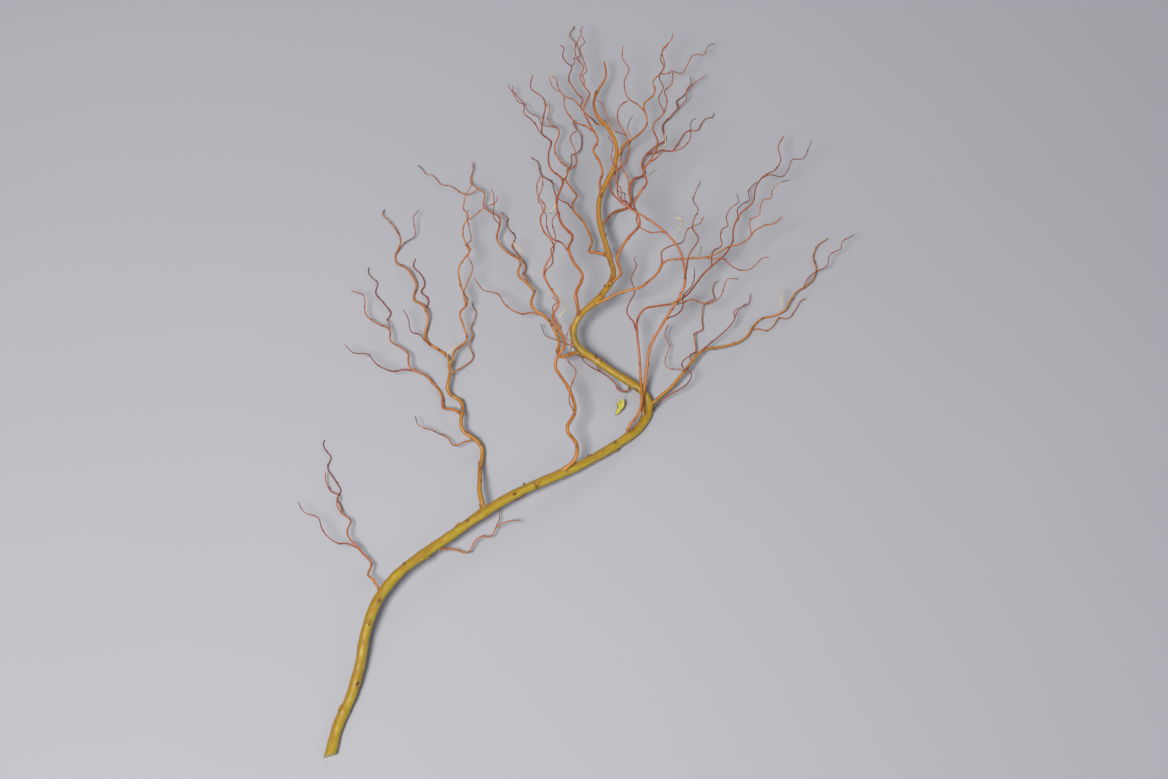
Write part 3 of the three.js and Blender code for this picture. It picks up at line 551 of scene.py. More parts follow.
class Tube:
    """The fine skin of one axis: its vertices, faces and what its colour depends on."""

    def __init__(self, axis, buds, number):
        self.axis = axis
        self.draw = draws_from(number * 3 + 5)
        self.sides = SIDES[axis.kind]
        self.cap_shares = CAP_SHARES if axis.kind == "stem" else ()
        self.angle = 2 * math.pi * np.arange(self.sides) / self.sides
        self.points, self.radii, self.s = fine_rings(axis)
        self.headings, across, over = transport(self.points)
        cosines, sines = np.cos(self.angle)[:, None], np.sin(self.angle)[:, None]
        self.ring = across[:, None] * cosines + over[:, None] * sines
        self.swell = self.undulation() + COLLAR_SIZE * self.foot(**COLLAR)
        self.dark = self.foot_mark()
        self.mark_buds(buds)
        self.mark_forks()
        self.mark_scars()
        self.dead = self.dead_bark()
        thick = self.radii[:, None] * (1 + self.swell) * (1 - SHRUNK * self.dead)
        thick = thick + self.fillets(thick)
        self.vertices = self.points[:, None] + self.ring * thick[..., None]
        if axis.kind == "stem":
            fade = CUT_SLANT * np.clip(1 - self.s / CUT_REACH, 0, 1)
            slide = fade[:, None] * np.cos(self.angle) * thick
            self.vertices += self.headings[:, None] * slide[..., None]
        self.close()
        self.paint(thick)

    def undulation(self):
        """Slow swells along the axis and shallow ridges round it, as shares of the radius."""
        s, angle = self.s, self.angle
        p = [self.draw(0, 2 * math.pi) for _ in range(5)]
        along = 0.022 * np.sin(s / 3.7 + p[0]) + 0.03 * np.sin(s / 8.3 + p[1])
        ridges = 0.02 * np.sin(2 * angle + (s / 17)[:, None] + p[2])
        ridges = ridges + 0.014 * np.sin(3 * angle - (s / 10)[:, None] + p[3])
        return along[:, None] + ridges + 0.008 * np.sin(5 * angle + (s / 6)[:, None] + p[4])

    def foot(self, share, least, further=0.0):
        """A bump round the place at which the axis comes out of the wood that it grows from."""
        parent, root = self.axis.parent, self.axis.root
        if parent is None:
            return np.zeros((len(self.s), 1))
        away = self.axis.points[:12] - parent.points[root]
        heading = heading_on(parent, root)
        off = np.linalg.norm(away - np.outer(away @ heading, heading), axis=1)
        leaves_at = np.interp(parent.radii[root], off, np.arange(len(away)) * STEP)
        reach = share * self.radii[0] + least
        return np.exp(-(((self.s - leaves_at - further) / reach) ** 2))[:, None]

    def foot_mark(self):
        """The dark, wrinkled band round the foot of a shoot, or a pale one."""
        shade = FOOT_PALE if self.axis.name in PALE_FEET else FOOT_DARK
        return shade * self.foot(**FOOT_MARK)

    def near(self, at, out, length, tight):
        """A bump that is 1 at a distance along the axis, on the side out of it, length long and the tighter
        round it."""
        side = np.clip(self.ring @ out, 0, 1) ** tight
        return np.exp(-(((self.s - at) / length) ** 2))[:, None] * side

    def darken(self, share, bump):
        self.dark = np.maximum(self.dark, share * bump)

    def mark_buds(self, buds):
        """The wood swells under each bud and is dark below it, where a leaf has left its scar."""
        for bud in buds:
            size = BUD_SWELL["size"] + BUD_SWELL["more_if_thin"] / bud.radius
            bump = self.near(bud.s, bud.out, BUD_SWELL["length"], BUD_SWELL["tight"])
            self.swell = self.swell + bump * size
            scar = self.near(bud.s - LEAF_SCAR["below"], bud.out, LEAF_SCAR["length"], LEAF_SCAR["tight"])
            self.darken(LEAF_SCAR["dark"], scar)

    def mark_forks(self):
        """The wood swells under each shoot that leaves it, and is dark in the crotch."""
        for root, child in self.axis.forks:
            length = FORK_SWELL["length"] * child.radii[0] + FORK_SWELL["least"]
            side = unit(child.points[2] - child.points[0])
            bump = self.near(root * STEP, side, length, FORK_SWELL["tight"])
            self.swell = self.swell + FORK_SWELL["size"] * bump * child.radii[0] / self.axis.radii[root]
            at = root * STEP + CROTCH["beyond"] * self.radii[2 * root]
            crotch = self.near(at, side, CROTCH["length"] * length, CROTCH["tight"])
            self.darken(CROTCH["dark"], crotch)

    def mark_scars(self):
        for at, side, length in SCARS.get(self.axis.name, ()):
            index, _, out = seat_on(self.axis, at, side)
            self.darken(SCAR["dark"], self.near(index * STEP, out, length, SCAR["tight"]))

    def dead_bark(self):
        """Where the bark has died and shrunk: at the foot of shoots that are known for it, along a stretch
        of one, at the tips of some twigs and along a stretch of a few."""
        s, name = self.s, self.axis.name
        dead = np.zeros_like(s)
        if name in BLACK_FEET:
            reach = BLACK_FEET[name]
            dead = 1 - smoothstep(s, reach * 0.75, reach * 1.1)
        if name in DARK_STRETCH:
            start, end, dark, fade = DARK_STRETCH[name].values()
            stretch = dark * smoothstep(s, start, start + fade) * smoothstep(s, end, end - fade)
            dead = np.maximum(dead, stretch)
        if self.axis.kind == "twig" and self.draw(0, 1) < DEAD_TIPS["share"]:
            reach = self.draw(*DEAD_TIPS["reach"])
            dead = np.maximum(dead, 1 - smoothstep(s[-1] - s, reach * DEAD_TIPS["full"], reach))
        if self.axis.kind == "twig" and self.draw(0, 1) < DEAD_STRETCHES["share"]:
            middle = self.draw(*DEAD_STRETCHES["middle"]) * s[-1]
            reach = self.draw(*DEAD_STRETCHES["reach"])
            alive = smoothstep(np.abs(s - middle), reach * DEAD_STRETCHES["full"], reach)
            dead = np.maximum(dead, DEAD_STRETCHES["dark"] * (1 - alive))
        return dead[:, None]

    def fillets(self, thick):
        """How far the skin is drawn out round each fork, where it meets the wood that it grows from and
        the shoots that grow from it."""
        axis = self.axis
        made = np.zeros_like(thick)
        meets = [(axis.parent, axis, 0, axis.root)] if axis.parent is not None else []
        meets += [(child, child, root, 0) for root, child in axis.forks]
        for other, shoot, here, there in meets:
            reach = FILLET["least"] + FILLET["share"] * shoot.radii[0]
            span = reach + 3 * max(axis.radii[here], other.radii[there]) + 2 * STEP
            rows = np.flatnonzero(np.abs(self.s - here * STEP) < span)
            steps = math.ceil(span / STEP)
            window = slice(max(0, there - steps), there + steps + 1)
            places = self.points[rows, None] + self.ring[rows] * thick[rows][..., None]
            beside, girths = finer(other.points[window]), finer(other.radii[window])
            out = fillet(places.reshape(-1, 3), beside, girths, reach).reshape(len(rows), -1)
            made[rows] = np.maximum(made[rows], out)
        return made

    def close(self):
        """Closes the tube: a cap at the foot, cut across and ringed on the stem, and a point at the tip."""
        rows, sides = self.vertices.shape[:2]
        rim = self.vertices[0]
        middle = rim.mean(0)
        caps = [middle + (rim - middle) * share for share in self.cap_shares]
        point = self.points[-1] + self.headings[-1] * TIP_POINT * self.radii[-1] / TIP_RINGS[-1][1]
        self.all = np.vstack([*self.vertices, *caps, middle[None], point[None]])
        self.all[:, 2] = np.maximum(self.all[:, 2], 0)
        count = len(self.all)
        k = np.arange(sides)
        after = (k + 1) % sides
        rims = [0, *range(rows * sides, count - 2, sides)]
        end = (rows - 1) * sides
        parts = [grid_faces(rows, sides)]
        for outer, inner in zip(rims, rims[1:]):
            parts.append(np.stack([outer + after, outer + k, inner + k, inner + after], -1))
        parts.append(np.stack([rims[-1] + after, rims[-1] + k, np.full(sides, count - 2)], -1))
        parts.append(np.stack([end + k, end + after, np.full(sides, count - 1)], -1))
        self.faces = [face for part in parts for face in part.tolist()]
        self.cut = slice(len(parts[0]) + sides, -sides)

    def paint(self, thick):
        """What the bark's colour depends on, at each vertex: grain is a place in the bark, unrolled, girth
        the radius of the wood there, and marks how dark, how dead and how red it is."""
        flat = thick[..., None] * np.stack([np.cos(self.angle), np.sin(self.angle)], -1)
        caps = [flat[0] * share for share in self.cap_shares]
        across = np.vstack([*flat, *caps, np.zeros((2, 2))])
        along = self.spread(self.s, 0, self.s[-1]) + self.draw(0, 400)
        self.grain = np.column_stack([across, along])
        self.girth = self.spread(self.radii, self.radii[0], self.radii[-1])
        tone = np.full(len(self.all), TONES.get(self.axis.name, self.draw(-1, 1)))
        dark = self.spread(self.dark, 0, 0)
        dead = self.spread(self.dead, 0, self.dead[-1, 0])
        self.marks = np.column_stack([dark, dead, tone])

    def spread(self, rings, foot, tip):
        """A value for every vertex, from those of the rings, one for what closes the foot and the tip's."""
        body = np.broadcast_to(rings.reshape(len(rings), -1), (len(rings), self.sides)).ravel()
        return np.concatenate([body, np.full(len(self.all) - len(body) - 1, foot), [tip]])

    def mesh(self, materials):
        mesh = bpy.data.meshes.new(self.axis.name)
        mesh.from_pydata(self.all.tolist(), [], self.faces)
        for material in materials:
            mesh.materials.append(material)
        cut = np.zeros(len(self.faces), np.int32)
        cut[self.cut] = 1
        mesh.polygons.foreach_set("material_index", cut)
        return mesh


def union(meshes):
    """One skin from closed tubes that grow into each other."""
    scene = bpy.context.scene.collection
    others = bpy.data.collections.new("tubes")
    scene.children.link(others)
    objects = [bpy.data.objects.new(m.name, m) for m in meshes]
    scene.objects.link(objects[0])
    for o in objects[1:]:
        others.objects.link(o)
    join = objects[0].modifiers.new("union", "BOOLEAN")
    join.operation = "UNION"
    join.solver = "MANIFOLD"
    join.operand_type = "COLLECTION"
    join.collection = others
    graph = bpy.context.evaluated_depsgraph_get()
    made = bpy.data.meshes.new_from_object(objects[0].evaluated_get(graph))
    for o in objects:
        bpy.data.objects.remove(o)
    for m in meshes:
        bpy.data.meshes.remove(m)
    bpy.data.collections.remove(others)
    return made


def read(collection, field, wide=1, kind=np.int32):
    """One field of all vertices, edges or faces of a mesh, in rows of wide where that is more than 1."""
    flat = np.empty(len(collection) * wide, kind)
    collection.foreach_get(field, flat)
    return flat.reshape(-1, wide) if wide > 1 else flat


def tree_of(points):
    tree = kdtree.KDTree(len(points))
    for i, p in enumerate(points):
        tree.insert(p, i)
    tree.balance()
    return tree


def soften_forks(mesh, points, seams, girth):
    """Draws the skin smooth where a shoot leaves the wood, so that it grows out of it without a crease."""
    seam_tree = tree_of(points[seams])
    near = np.array([seam_tree.find(p)[2] for p in points])
    reach = SOFTENING["reach"] + SOFTENING["with_girth"] * girth
    weight = SOFTENING["pull"] * (1 - smoothstep(near, SOFTENING["full"], reach))
    a, b = read(mesh.edges, "vertices", 2).T
    count = np.bincount(a, minlength=len(points)) + np.bincount(b, minlength=len(points))
    for _ in range(SOFTENING["rounds"]):
        total = np.zeros_like(points)
        np.add.at(total, a, points[b])
        np.add.at(total, b, points[a])
        points = points + (total / np.maximum(count, 1)[:, None] - points) * weight[:, None]
    points[:, 2] = np.maximum(points[:, 2], 0)
    return points


def attribute(mesh, name, values):
    """Gives each vertex of a mesh a value or a vector."""
    kind, field = ("FLOAT_VECTOR", "vector") if values.ndim == 2 else ("FLOAT", "value")
    made = mesh.attributes.new(name, kind, "POINT")
    made.data.foreach_set(field, np.ascontiguousarray(values, np.float32).ravel())


def smooth_mesh(name, vertices, faces, material, field, values):
    """A mesh with one material and one attribute, shaded smooth."""
    mesh = bpy.data.meshes.new(name)
    mesh.from_pydata(vertices.tolist(), [], faces)
    mesh.materials.append(material)
    attribute(mesh, field, values)
    mesh.polygons.foreach_set("use_smooth", np.ones(len(mesh.polygons), bool))
    return mesh


def add_object(name, data, place=(0, 0, 0), back=None):
    """Adds an object to the scene. Where back is given, it looks the other way."""
    made = bpy.data.objects.new(name, data)
    bpy.context.scene.collection.objects.link(made)
    made.location = place
    if back is not None:
        made.rotation_mode = "QUATERNION"
        made.rotation_quaternion = (-back).to_track_quat("-Z", "Y")
    return made


def piece(name, mesh, replaced=()):
    """A piece of the branch: turned from the growth's millimetres into metres and centred in plan, it rides
    on the one body, and stands for the CAD nodes it replaces."""
    shift = Matrix.Translation((-PLAN_CENTRE[0] * MM, -PLAN_CENTRE[1] * MM, 0))
    mesh.transform(shift @ Matrix.Scale(MM, 4))
    mesh.update()
    made = add_object(name, mesh)
    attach(made, "root")
    if replaced:
        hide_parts(*replaced)


def make_wood(axes, twigs, buds, bark, cut_wood):
    """The wood of the branch, one skin over the stem, shoots and twigs."""
    tubes = [Tube(axis, buds[axis.name], n + 1) for n, axis in enumerate([*axes.values(), *twigs])]
    mesh = union([tube.mesh([bark, cut_wood]) for tube in tubes])
    points = read(mesh.vertices, "co", 3, np.float32).astype(float)
    tree = tree_of(np.vstack([tube.all for tube in tubes]))
    found = [tree.find(p) for p in points]
    nearest = np.array([f[1] for f in found])
    seams = np.array([f[2] for f in found]) > SEAM
    fields = ("grain", "marks", "girth")
    grain, marks, girth = (np.concatenate([getattr(t, field) for t in tubes])[nearest] for field in fields)
    points = soften_forks(mesh, points, seams, girth)
    mesh.vertices.foreach_set("co", points.astype(np.float32).ravel())
    attribute(mesh, "grain", grain)
    attribute(mesh, "marks", marks)
    attribute(mesh, "girth", girth)
    mesh.polygons.foreach_set("use_smooth", read(mesh.polygons, "material_index") == 0)
    piece("branch_wood", mesh, ["branch"])


# ---- Materials ----


def linear(colour):
    """A colour given as it looks on screen, from 0 to 255, in the numbers that a shader takes."""
    return (*((c / 255 / 12.92) if c <= 10 else ((c / 255 + 0.055) / 1.055) ** 2.4 for c in colour), 1)


class Shader:
    """A material, its base colour so far, and short ways to add nodes. Colours are given as they look."""

    def __init__(self, name, **sockets):
        self.material = bpy.data.materials.new(name)
        self.material.use_nodes = True
        self.tree = self.material.node_tree
        self.surface = self.tree.nodes["Principled BSDF"]
        self.base = None
        for socket, value in sockets.items():
            self.surface.inputs[socket.replace("_", " ")].default_value = value

    def node(self, kind, inputs=(), **settings):
        made = self.tree.nodes.new(kind)
        for key, value in settings.items():
            setattr(made, key, value)
        for key, value in dict(inputs).items():
            self.feed(made.inputs[key], value)
        return made

    def feed(self, socket, value):
        if isinstance(value, bpy.types.NodeSocket):
            self.tree.links.new(value, socket)
        else:
            socket.default_value = value

    def attribute(self, name, output="Vector"):
        return self.node("ShaderNodeAttribute", attribute_name=name).outputs[output]

    def place(self):
        return self.node("ShaderNodeTexCoord").outputs["Object"]

    def split(self, vector):
        return self.node("ShaderNodeSeparateXYZ", {0: vector}).outputs[:3]

    def join(self, x, y, z):
        return self.node("ShaderNodeCombineXYZ", {0: x, 1: y, 2: z}).outputs[0]

    def scaled(self, vector, factors):
        return self.node("ShaderNodeVectorMath", {0: vector, 1: factors}, operation="MULTIPLY").outputs[0]

    def length(self, vector):
        return self.node("ShaderNodeVectorMath", {0: vector}, operation="LENGTH").outputs["Value"]

    def math(self, operation, a, b=0.0):
        return self.node("ShaderNodeMath", {0: a, 1: b}, operation=operation).outputs[0]

    def times(self, a, b):
        return self.math("MULTIPLY", a, b)

    def weighted(self, *terms, start=0.0):
        """The sum of values, each times its weight."""
        total = start
        for value, weight in terms:
            made = self.node("ShaderNodeMath", {0: value, 1: weight, 2: total}, operation="MULTIPLY_ADD")
            total = made.outputs[0]
        return total

    def noise(self, vector, scale, detail=3.0, roughness=0.55):
        inputs = {"Vector": vector, "Scale": scale, "Detail": detail, "Roughness": roughness}
        return self.node("ShaderNodeTexNoise", inputs).outputs["Fac"]

    def cells(self, vector, scale):
        """The distance from the middle of the nearest of many cells."""
        return self.node("ShaderNodeTexVoronoi", {"Vector": vector, "Scale": scale}).outputs["Distance"]

    def between(self, value, low, high):
        """0 below low and 1 above high, and smooth in between; falls where low is above high."""
        made = self.node("ShaderNodeMapRange", {0: value, 1: low, 2: high}, interpolation_type="SMOOTHSTEP")
        return made.outputs[0]

    def ramp(self, value, *stops):
        made = self.node("ShaderNodeValToRGB", {0: value})
        band = made.color_ramp
        while len(band.elements) < len(stops):
            band.elements.new(1)
        for element, (at, colour) in zip(band.elements, stops):
            element.position = at
            element.color = linear(colour)
        return made.outputs[0]

    def mix(self, share, a, b, blend="MIX"):
        made = self.node("ShaderNodeMix", {0: share}, data_type="RGBA", blend_type=blend)
        for socket, colour in ((6, a), (7, b)):
            self.feed(made.inputs[socket], linear(colour) if isinstance(colour, tuple) else colour)
        return made.outputs[2]

    def wash(self, mask, share, colour, blend="MIX"):
        """Lays a colour over the base where the mask is 1, as strong as share."""
        self.base = self.mix(self.times(mask, share), self.base, colour, blend)

    def finish(self, height, distance, strength=1.0, rough=None):
        """Sets the base colour, the relief and, where it differs over the surface, the roughness."""
        relief = self.node("ShaderNodeBump", {"Height": height, "Distance": distance, "Strength": strength})
        self.feed(self.surface.inputs["Base Color"], self.base)
        self.feed(self.surface.inputs["Normal"], relief.outputs[0])
        if rough is not None:
            self.feed(self.surface.inputs["Roughness"], rough)
        return self.material


def bark_material():
    """Golden-olive bark on the stem, orange on the shoots and red-brown on the twigs, with a blush, fine
    streaks along the wood, dark specks and pale lenticels, and a soft waxy gloss."""
    sh = Shader("bark", Coat_Weight=0.17, Coat_Roughness=0.36)
    grain = sh.attribute("grain")
    dark, dead, tone = sh.split(sh.attribute("marks"))
    girth = sh.attribute("girth", "Fac")
    drift = sh.noise(sh.place(), 14, 2)
    # The thicker the wood, the more golden; a red shoot counts as thinner than it is.
    where = sh.weighted((girth, 0.125), (tone, -0.12), (drift, 0.34), start=-0.17)
    sh.base = sh.ramp(
        where,
        (0.0, (144, 50, 34)),
        (0.05, (166, 70, 38)),
        (0.13, (188, 92, 42)),
        (0.24, (204, 120, 48)),
        (0.4, (198, 132, 40)),
        (0.62, (184, 134, 34)),
        (0.85, (170, 132, 22)),
    )
    # Lime on the sunny side of the thick wood and orange-brown on the other, in long patches.
    x, y, z = sh.split(sh.node("ShaderNodeNewGeometry").outputs["Normal"])
    patch = sh.noise(sh.scaled(grain, (0.12, 0.12, 0.02)), 1.0, 4, 0.6)
    side = sh.weighted((x, 0.45), (y, -0.7), (z, -0.1), (patch, 3.2), start=-1.6)
    stout = sh.between(girth, 1.8, 6.8)
    blush = sh.times(sh.between(side, -0.2, -1.1), sh.between(girth, 0.8, 2.5))
    sh.wash(sh.times(sh.between(side, -0.35, 0.6), stout), 0.85, (188, 166, 30))
    sh.wash(blush, sh.between(girth, 7.5, 1.5), (164, 88, 32))
    # Painted shade: the sides and underside of the wood, by which way they face, are darker and redder,
    # more of it on the shoots than on the stem.
    under = sh.between(sh.weighted((girth, 0.06), (z, 1.0)), 0.95, 0.1)
    sh.wash(under, 0.72, sh.mix(stout, (164, 118, 106), (172, 146, 100)), blend="MULTIPLY")
    # Streaks along the wood, and rusty clouds that are larger.
    streak = sh.noise(sh.scaled(grain, (1.1, 1.1, 0.06)), 1.6, 4, 0.6)
    cloud = sh.noise(sh.scaled(grain, (0.5, 0.5, 0.16)), 0.9, 4, 0.65)
    sh.wash(sh.between(streak, 0.4, 0.72), 0.36, (116, 72, 20))
    sh.wash(sh.between(streak, 0.5, 0.28), 0.3, (208, 174, 76))
    sh.wash(sh.between(cloud, 0.52, 0.7), 0.45, (138, 76, 28))
    # Lenticels: small pale ovals across the bark of the thicker wood, each with a dark rim.
    oval = sh.cells(sh.scaled(grain, (1.0, 1.0, 0.5)), 0.24)
    bare = sh.between(girth, 1.4, 2.6)
    lenticel = sh.times(sh.between(oval, 0.12, 0.07), bare)
    sh.wash(sh.times(sh.between(oval, 0.2, 0.12), bare), 0.5, (112, 68, 28))
    sh.wash(lenticel, 0.8, (212, 172, 112))
    # Specks, and the marks that the wood carries: dark and pale feet, scars and dead bark.
    speck = sh.cells(sh.scaled(grain, (1.0, 1.0, 0.4)), 0.16)
    stain = sh.times(sh.between(speck, 0.14, 0.05), sh.between(drift, 0.42, 0.56))
    sh.wash(stain, 0.85, (62, 36, 20))
    sh.wash(dark, 0.85, (88, 42, 24))
    sh.wash(sh.between(dark, -0.05, -0.6), 1.0, (206, 146, 104))
    sh.wash(dead, 0.92, (46, 30, 26))
    worn = sh.math("MAXIMUM", sh.math("ABSOLUTE", dark), dead)
    wrinkle = sh.noise(sh.scaled(grain, (0.5, 0.5, 1.6)), 1.4, 3)
    folds = sh.times(wrinkle, sh.math("ADD", worn, 0.15))
    height = sh.weighted((streak, 0.5), (lenticel, 0.6), (folds, 1.3))
    return sh.finish(height, 0.00025, rough=sh.weighted((worn, 0.35), (streak, 0.14), start=0.34))


def cut_material():
    """The cut end: pale wood with a few growth rings round a brown pith, and a dark rim under the bark."""
    sh = Shader("cut_wood", Roughness=0.7)
    x, y, _ = sh.split(sh.attribute("grain"))
    flat = sh.join(x, y, 0.0)
    across = sh.length(flat)
    wander = sh.weighted((sh.noise(flat, 0.35, 3), 0.9), start=-0.45)
    rings = sh.math("SINE", sh.times(sh.math("ADD", across, wander), 3.1))
    pores = sh.noise(flat, 3.2, 4, 0.7)
    sh.base = sh.mix(sh.between(rings, 0.3, 1.0), (222, 202, 154), (202, 174, 120))
    sh.wash(sh.between(pores, 0.55, 0.75), 0.5, (150, 112, 66))
    sh.wash(sh.between(across, 6.3, 6.9), 1.0, (158, 160, 70))
    sh.wash(sh.between(across, 1.25, 0.8), 1.0, (120, 84, 50))
    return sh.finish(pores, 0.0002)


def bud_material():
    """Smooth bud scales, from yellow-brown on the stem to dark red on the twigs, with a dark leaf scar."""
    sh = Shader("bud", Coat_Weight=0.2, Coat_Roughness=0.3)
    along, tone, scar = sh.split(sh.attribute("bud"))
    mottle = sh.noise(sh.place(), 1400, 3)
    sh.base = sh.ramp(tone, (0.0, (124, 44, 32)), (0.5, (160, 74, 38)), (1.0, (176, 122, 44)))
    sh.wash(sh.between(along, 0.7, 1.0), 1.0, (70, 30, 22))
    sh.wash(sh.between(mottle, 0.5, 0.7), 0.4, (96, 50, 28))
    sh.wash(scar, 0.9, (64, 38, 24))
    return sh.finish(mottle, 0.00008, rough=sh.weighted((scar, 0.35), start=0.38))


def scale_material():
    """Papery scales left at the foot of some shoots."""
    sh = Shader("bud_scale", Roughness=0.75)
    fibre = sh.noise(sh.place(), 900, 4, 0.65)
    sh.base = sh.ramp(fibre, (0.3, (222, 200, 154)), (0.5, (192, 158, 104)), (0.75, (132, 92, 54)))
    return sh.finish(fibre, 0.0001)


# How each kind of leaf looks: its colour where young and where old and that of its veins, how strong its
# spots and its brown edge are, its roughness, and how much light comes through it.
LEAF_LOOKS = {
    "yellow_leaf": ((206, 200, 80), (188, 172, 64), (220, 214, 134), 0.9, 0.85, 0.5, 0.3),
    "green_leaf": ((122, 158, 66), (146, 172, 84), (188, 204, 132), 0.2, 0.3, 0.45, 0.25),
    "dried_leaf": ((228, 214, 164), (206, 182, 120), (238, 228, 190), 0.4, 0.7, 0.75, 0.2),
}


def leaf_material(name, young, old, vein, spots, edge, roughness, through):
    """A leaf blade with a pale midrib and side veins, patches of an older colour, and spots."""
    sh = Shader(
        name,
        Roughness=roughness,
        Subsurface_Weight=through,
        Subsurface_Radius=(0.6, 0.5, 0.15),
        Subsurface_Scale=0.0006,
    )
    across, along, margin = sh.split(sh.attribute("blade"))
    flat = sh.join(across, along, 0.0)
    off = sh.math("ABSOLUTE", across)
    patch = sh.noise(flat, 0.16, 4, 0.6)
    midrib = sh.between(off, 0.34, 0.12)
    ribs = sh.math("SINE", sh.times(sh.weighted((off, -1.6), start=along), 2.6))
    dots = sh.between(sh.cells(flat, 0.5), 0.34, 0.16)
    rim = sh.weighted((patch, 0.3), start=margin)
    sh.base = sh.mix(sh.between(patch, 0.38, 0.66), young, old)
    sh.wash(sh.between(ribs, 0.75, 1.0), 0.35, vein)
    sh.wash(midrib, 0.7, vein)
    sh.wash(sh.times(dots, sh.between(sh.noise(flat, 0.3, 2), 0.46, 0.54)), spots, (104, 62, 26))
    sh.wash(sh.between(rim, 0.86, 1.16), edge, (112, 70, 34))
    # The margin's value goes up to DEAD_SPOT where the leaf is dead through.
    sh.wash(sh.between(margin, 2.4, 2.9), 1.0, (62, 44, 38))
    height = sh.weighted((ribs, 0.25), (sh.noise(flat, 1.4, 4), 1.0), start=midrib)
    return sh.finish(height, 0.00015)


# ---- Buds, scales and stubs ----

EIGHTHS = 2 * math.pi * np.arange(8) / 8  # the angles of the eight sides of a bud or a stub

# Stations of a bud, and of the leaf scar below it: share of the bud's length, half width, and how far the
# middle stands off the bark, the last two as shares of its width.
BUD_STATIONS = (
    (-0.10, 0.28, 0.00), (0.00, 0.44, 0.10), (0.14, 0.52, 0.20), (0.32, 0.50, 0.26),
    (0.52, 0.42, 0.27), (0.72, 0.30, 0.24), (0.88, 0.17, 0.19), (0.97, 0.07, 0.15),
)
SCAR_STATIONS = ((-0.34, 0.12, 0.0), (-0.26, 0.40, 0.06), (-0.14, 0.52, 0.12), (-0.04, 0.46, 0.06))

# A bud's width as a share of its length, its thickness and the scar's as shares of that, and how far from
# the wood's middle it lies, as a share of its radius.
BUD = dict(width=0.4, thick=0.72, scar=0.2, off=1.04)

# Stations of a stub and of a papery scale: share of its length and how wide it is there.
STUB_STATIONS = ((0, 2.0), (0.2, 1.5), (0.42, 1.1), (0.7, 0.95), (0.92, 0.8), (1.0, 0.4))
SCALE_STATIONS = ((0, 0.4), (0.3, 0.5), (0.65, 0.36), (1.0, 0.08))
SCALE_BOW = ((-1, 0.0), (0, 0.22), (1, 0.0), (1, -0.16), (0, 0.06), (-1, -0.16))  # its section: across, out
SCALES = 3  # scales at the foot of a shoot
SCALED = 0.6  # share of the shoots that have them

# Short dead stubs: share of the axis, angle round it, length, radius.
STUBS = {
    "stem": (
        (0.075, 60, 6, 1.5), (0.205, 120, 5, 1.3), (0.338, 75, 6, 1.2), (0.352, 150, 5, 1.2),
        (0.4262, 152, 5.5, 1.0), (0.4305, 128, 4.5, 0.9), (0.598, 60, 5, 1.1), (0.6965, 130, 5, 1.0),
        (0.6985, 75, 4, 0.9), (0.765, 50, 6, 0.8),
    ),
    "side": ((0.12, 70, 5, 0.9), (0.52, 110, 5, 0.8)),
    "middle": ((0.2, 60, 5, 0.8),),
    "bend_right": ((0.17, 100, 4, 0.8),),
    "bend_left_1": ((0.22, 120, 5, 0.8),),
    "bend_left_2": ((0.3, 70, 5, 0.7),),
    "bend_over_2": ((0.33, 60, 4, 0.7),),
}


def loft(stations):
    """Vertices and faces of a skin over rings of the same size, its ends closed."""
    rows, sides = len(stations), len(stations[0])
    faces = grid_faces(rows, sides).tolist()
    faces.append(list(range(sides))[::-1])
    faces.append([(rows - 1) * sides + k for k in range(sides)])
    return np.vstack(stations), faces


class Gather:
    """Collects many small solids into one mesh with one vector attribute."""

    def __init__(self):
        self.vertices, self.faces, self.values, self.count = [], [], [], 0

    def add(self, stations, values):
        """Adds the solid that skins some stations, with a value for each of them."""
        vertices, faces = loft(stations)
        self.vertices.append(vertices)
        self.faces += [[self.count + v for v in face] for face in faces]
        self.values.append(np.repeat(np.array(values, float), len(stations[0]), 0))
        self.count += len(vertices)

    def mesh(self, name, material, field):
        vertices = np.vstack(self.vertices)
        vertices[:, 2] = np.maximum(vertices[:, 2], 0)
        return smooth_mesh(name, vertices, self.faces, material, field, np.vstack(self.values))


def oval(across, over, wide, high):
    """Eight places round an oval, from its middle."""
    return np.cos(EIGHTHS)[:, None] * across * wide + np.sin(EIGHTHS)[:, None] * over * high


def add_bud(gather, bud, draw):
    """A pointed bud that lies against the wood, over the raised scar of the leaf that it sat above."""
    side = unit(np.cross(bud.heading, bud.out))
    width = BUD["width"] * bud.length * draw(0.85, 1.1)
    lean = draw(-0.1, 0.1)
    tone = np.clip((bud.radius - 0.6) / 5 + draw(-0.15, 0.25), 0, 1)
    stations = []
    for share, half, stand in BUD_STATIONS:
        middle = bud.point + (bud.heading + side * lean) * share * bud.length
        middle = middle + bud.out * (bud.radius * BUD["off"] + stand * width)
        stations.append(middle + oval(side, bud.out, half * width, half * width * BUD["thick"]))
    gather.add(stations, [(max(share, 0), tone, 0.0) for share, _, _ in BUD_STATIONS])
    scar = []
    for share, half, stand in SCAR_STATIONS:
        middle = bud.point + bud.heading * share * bud.length + bud.out * (bud.radius + stand * width)
        scar.append(middle + oval(side, bud.out, half * width, BUD["scar"] * width))
    gather.add(scar, [(0.2, tone, 1.0)] * len(scar))


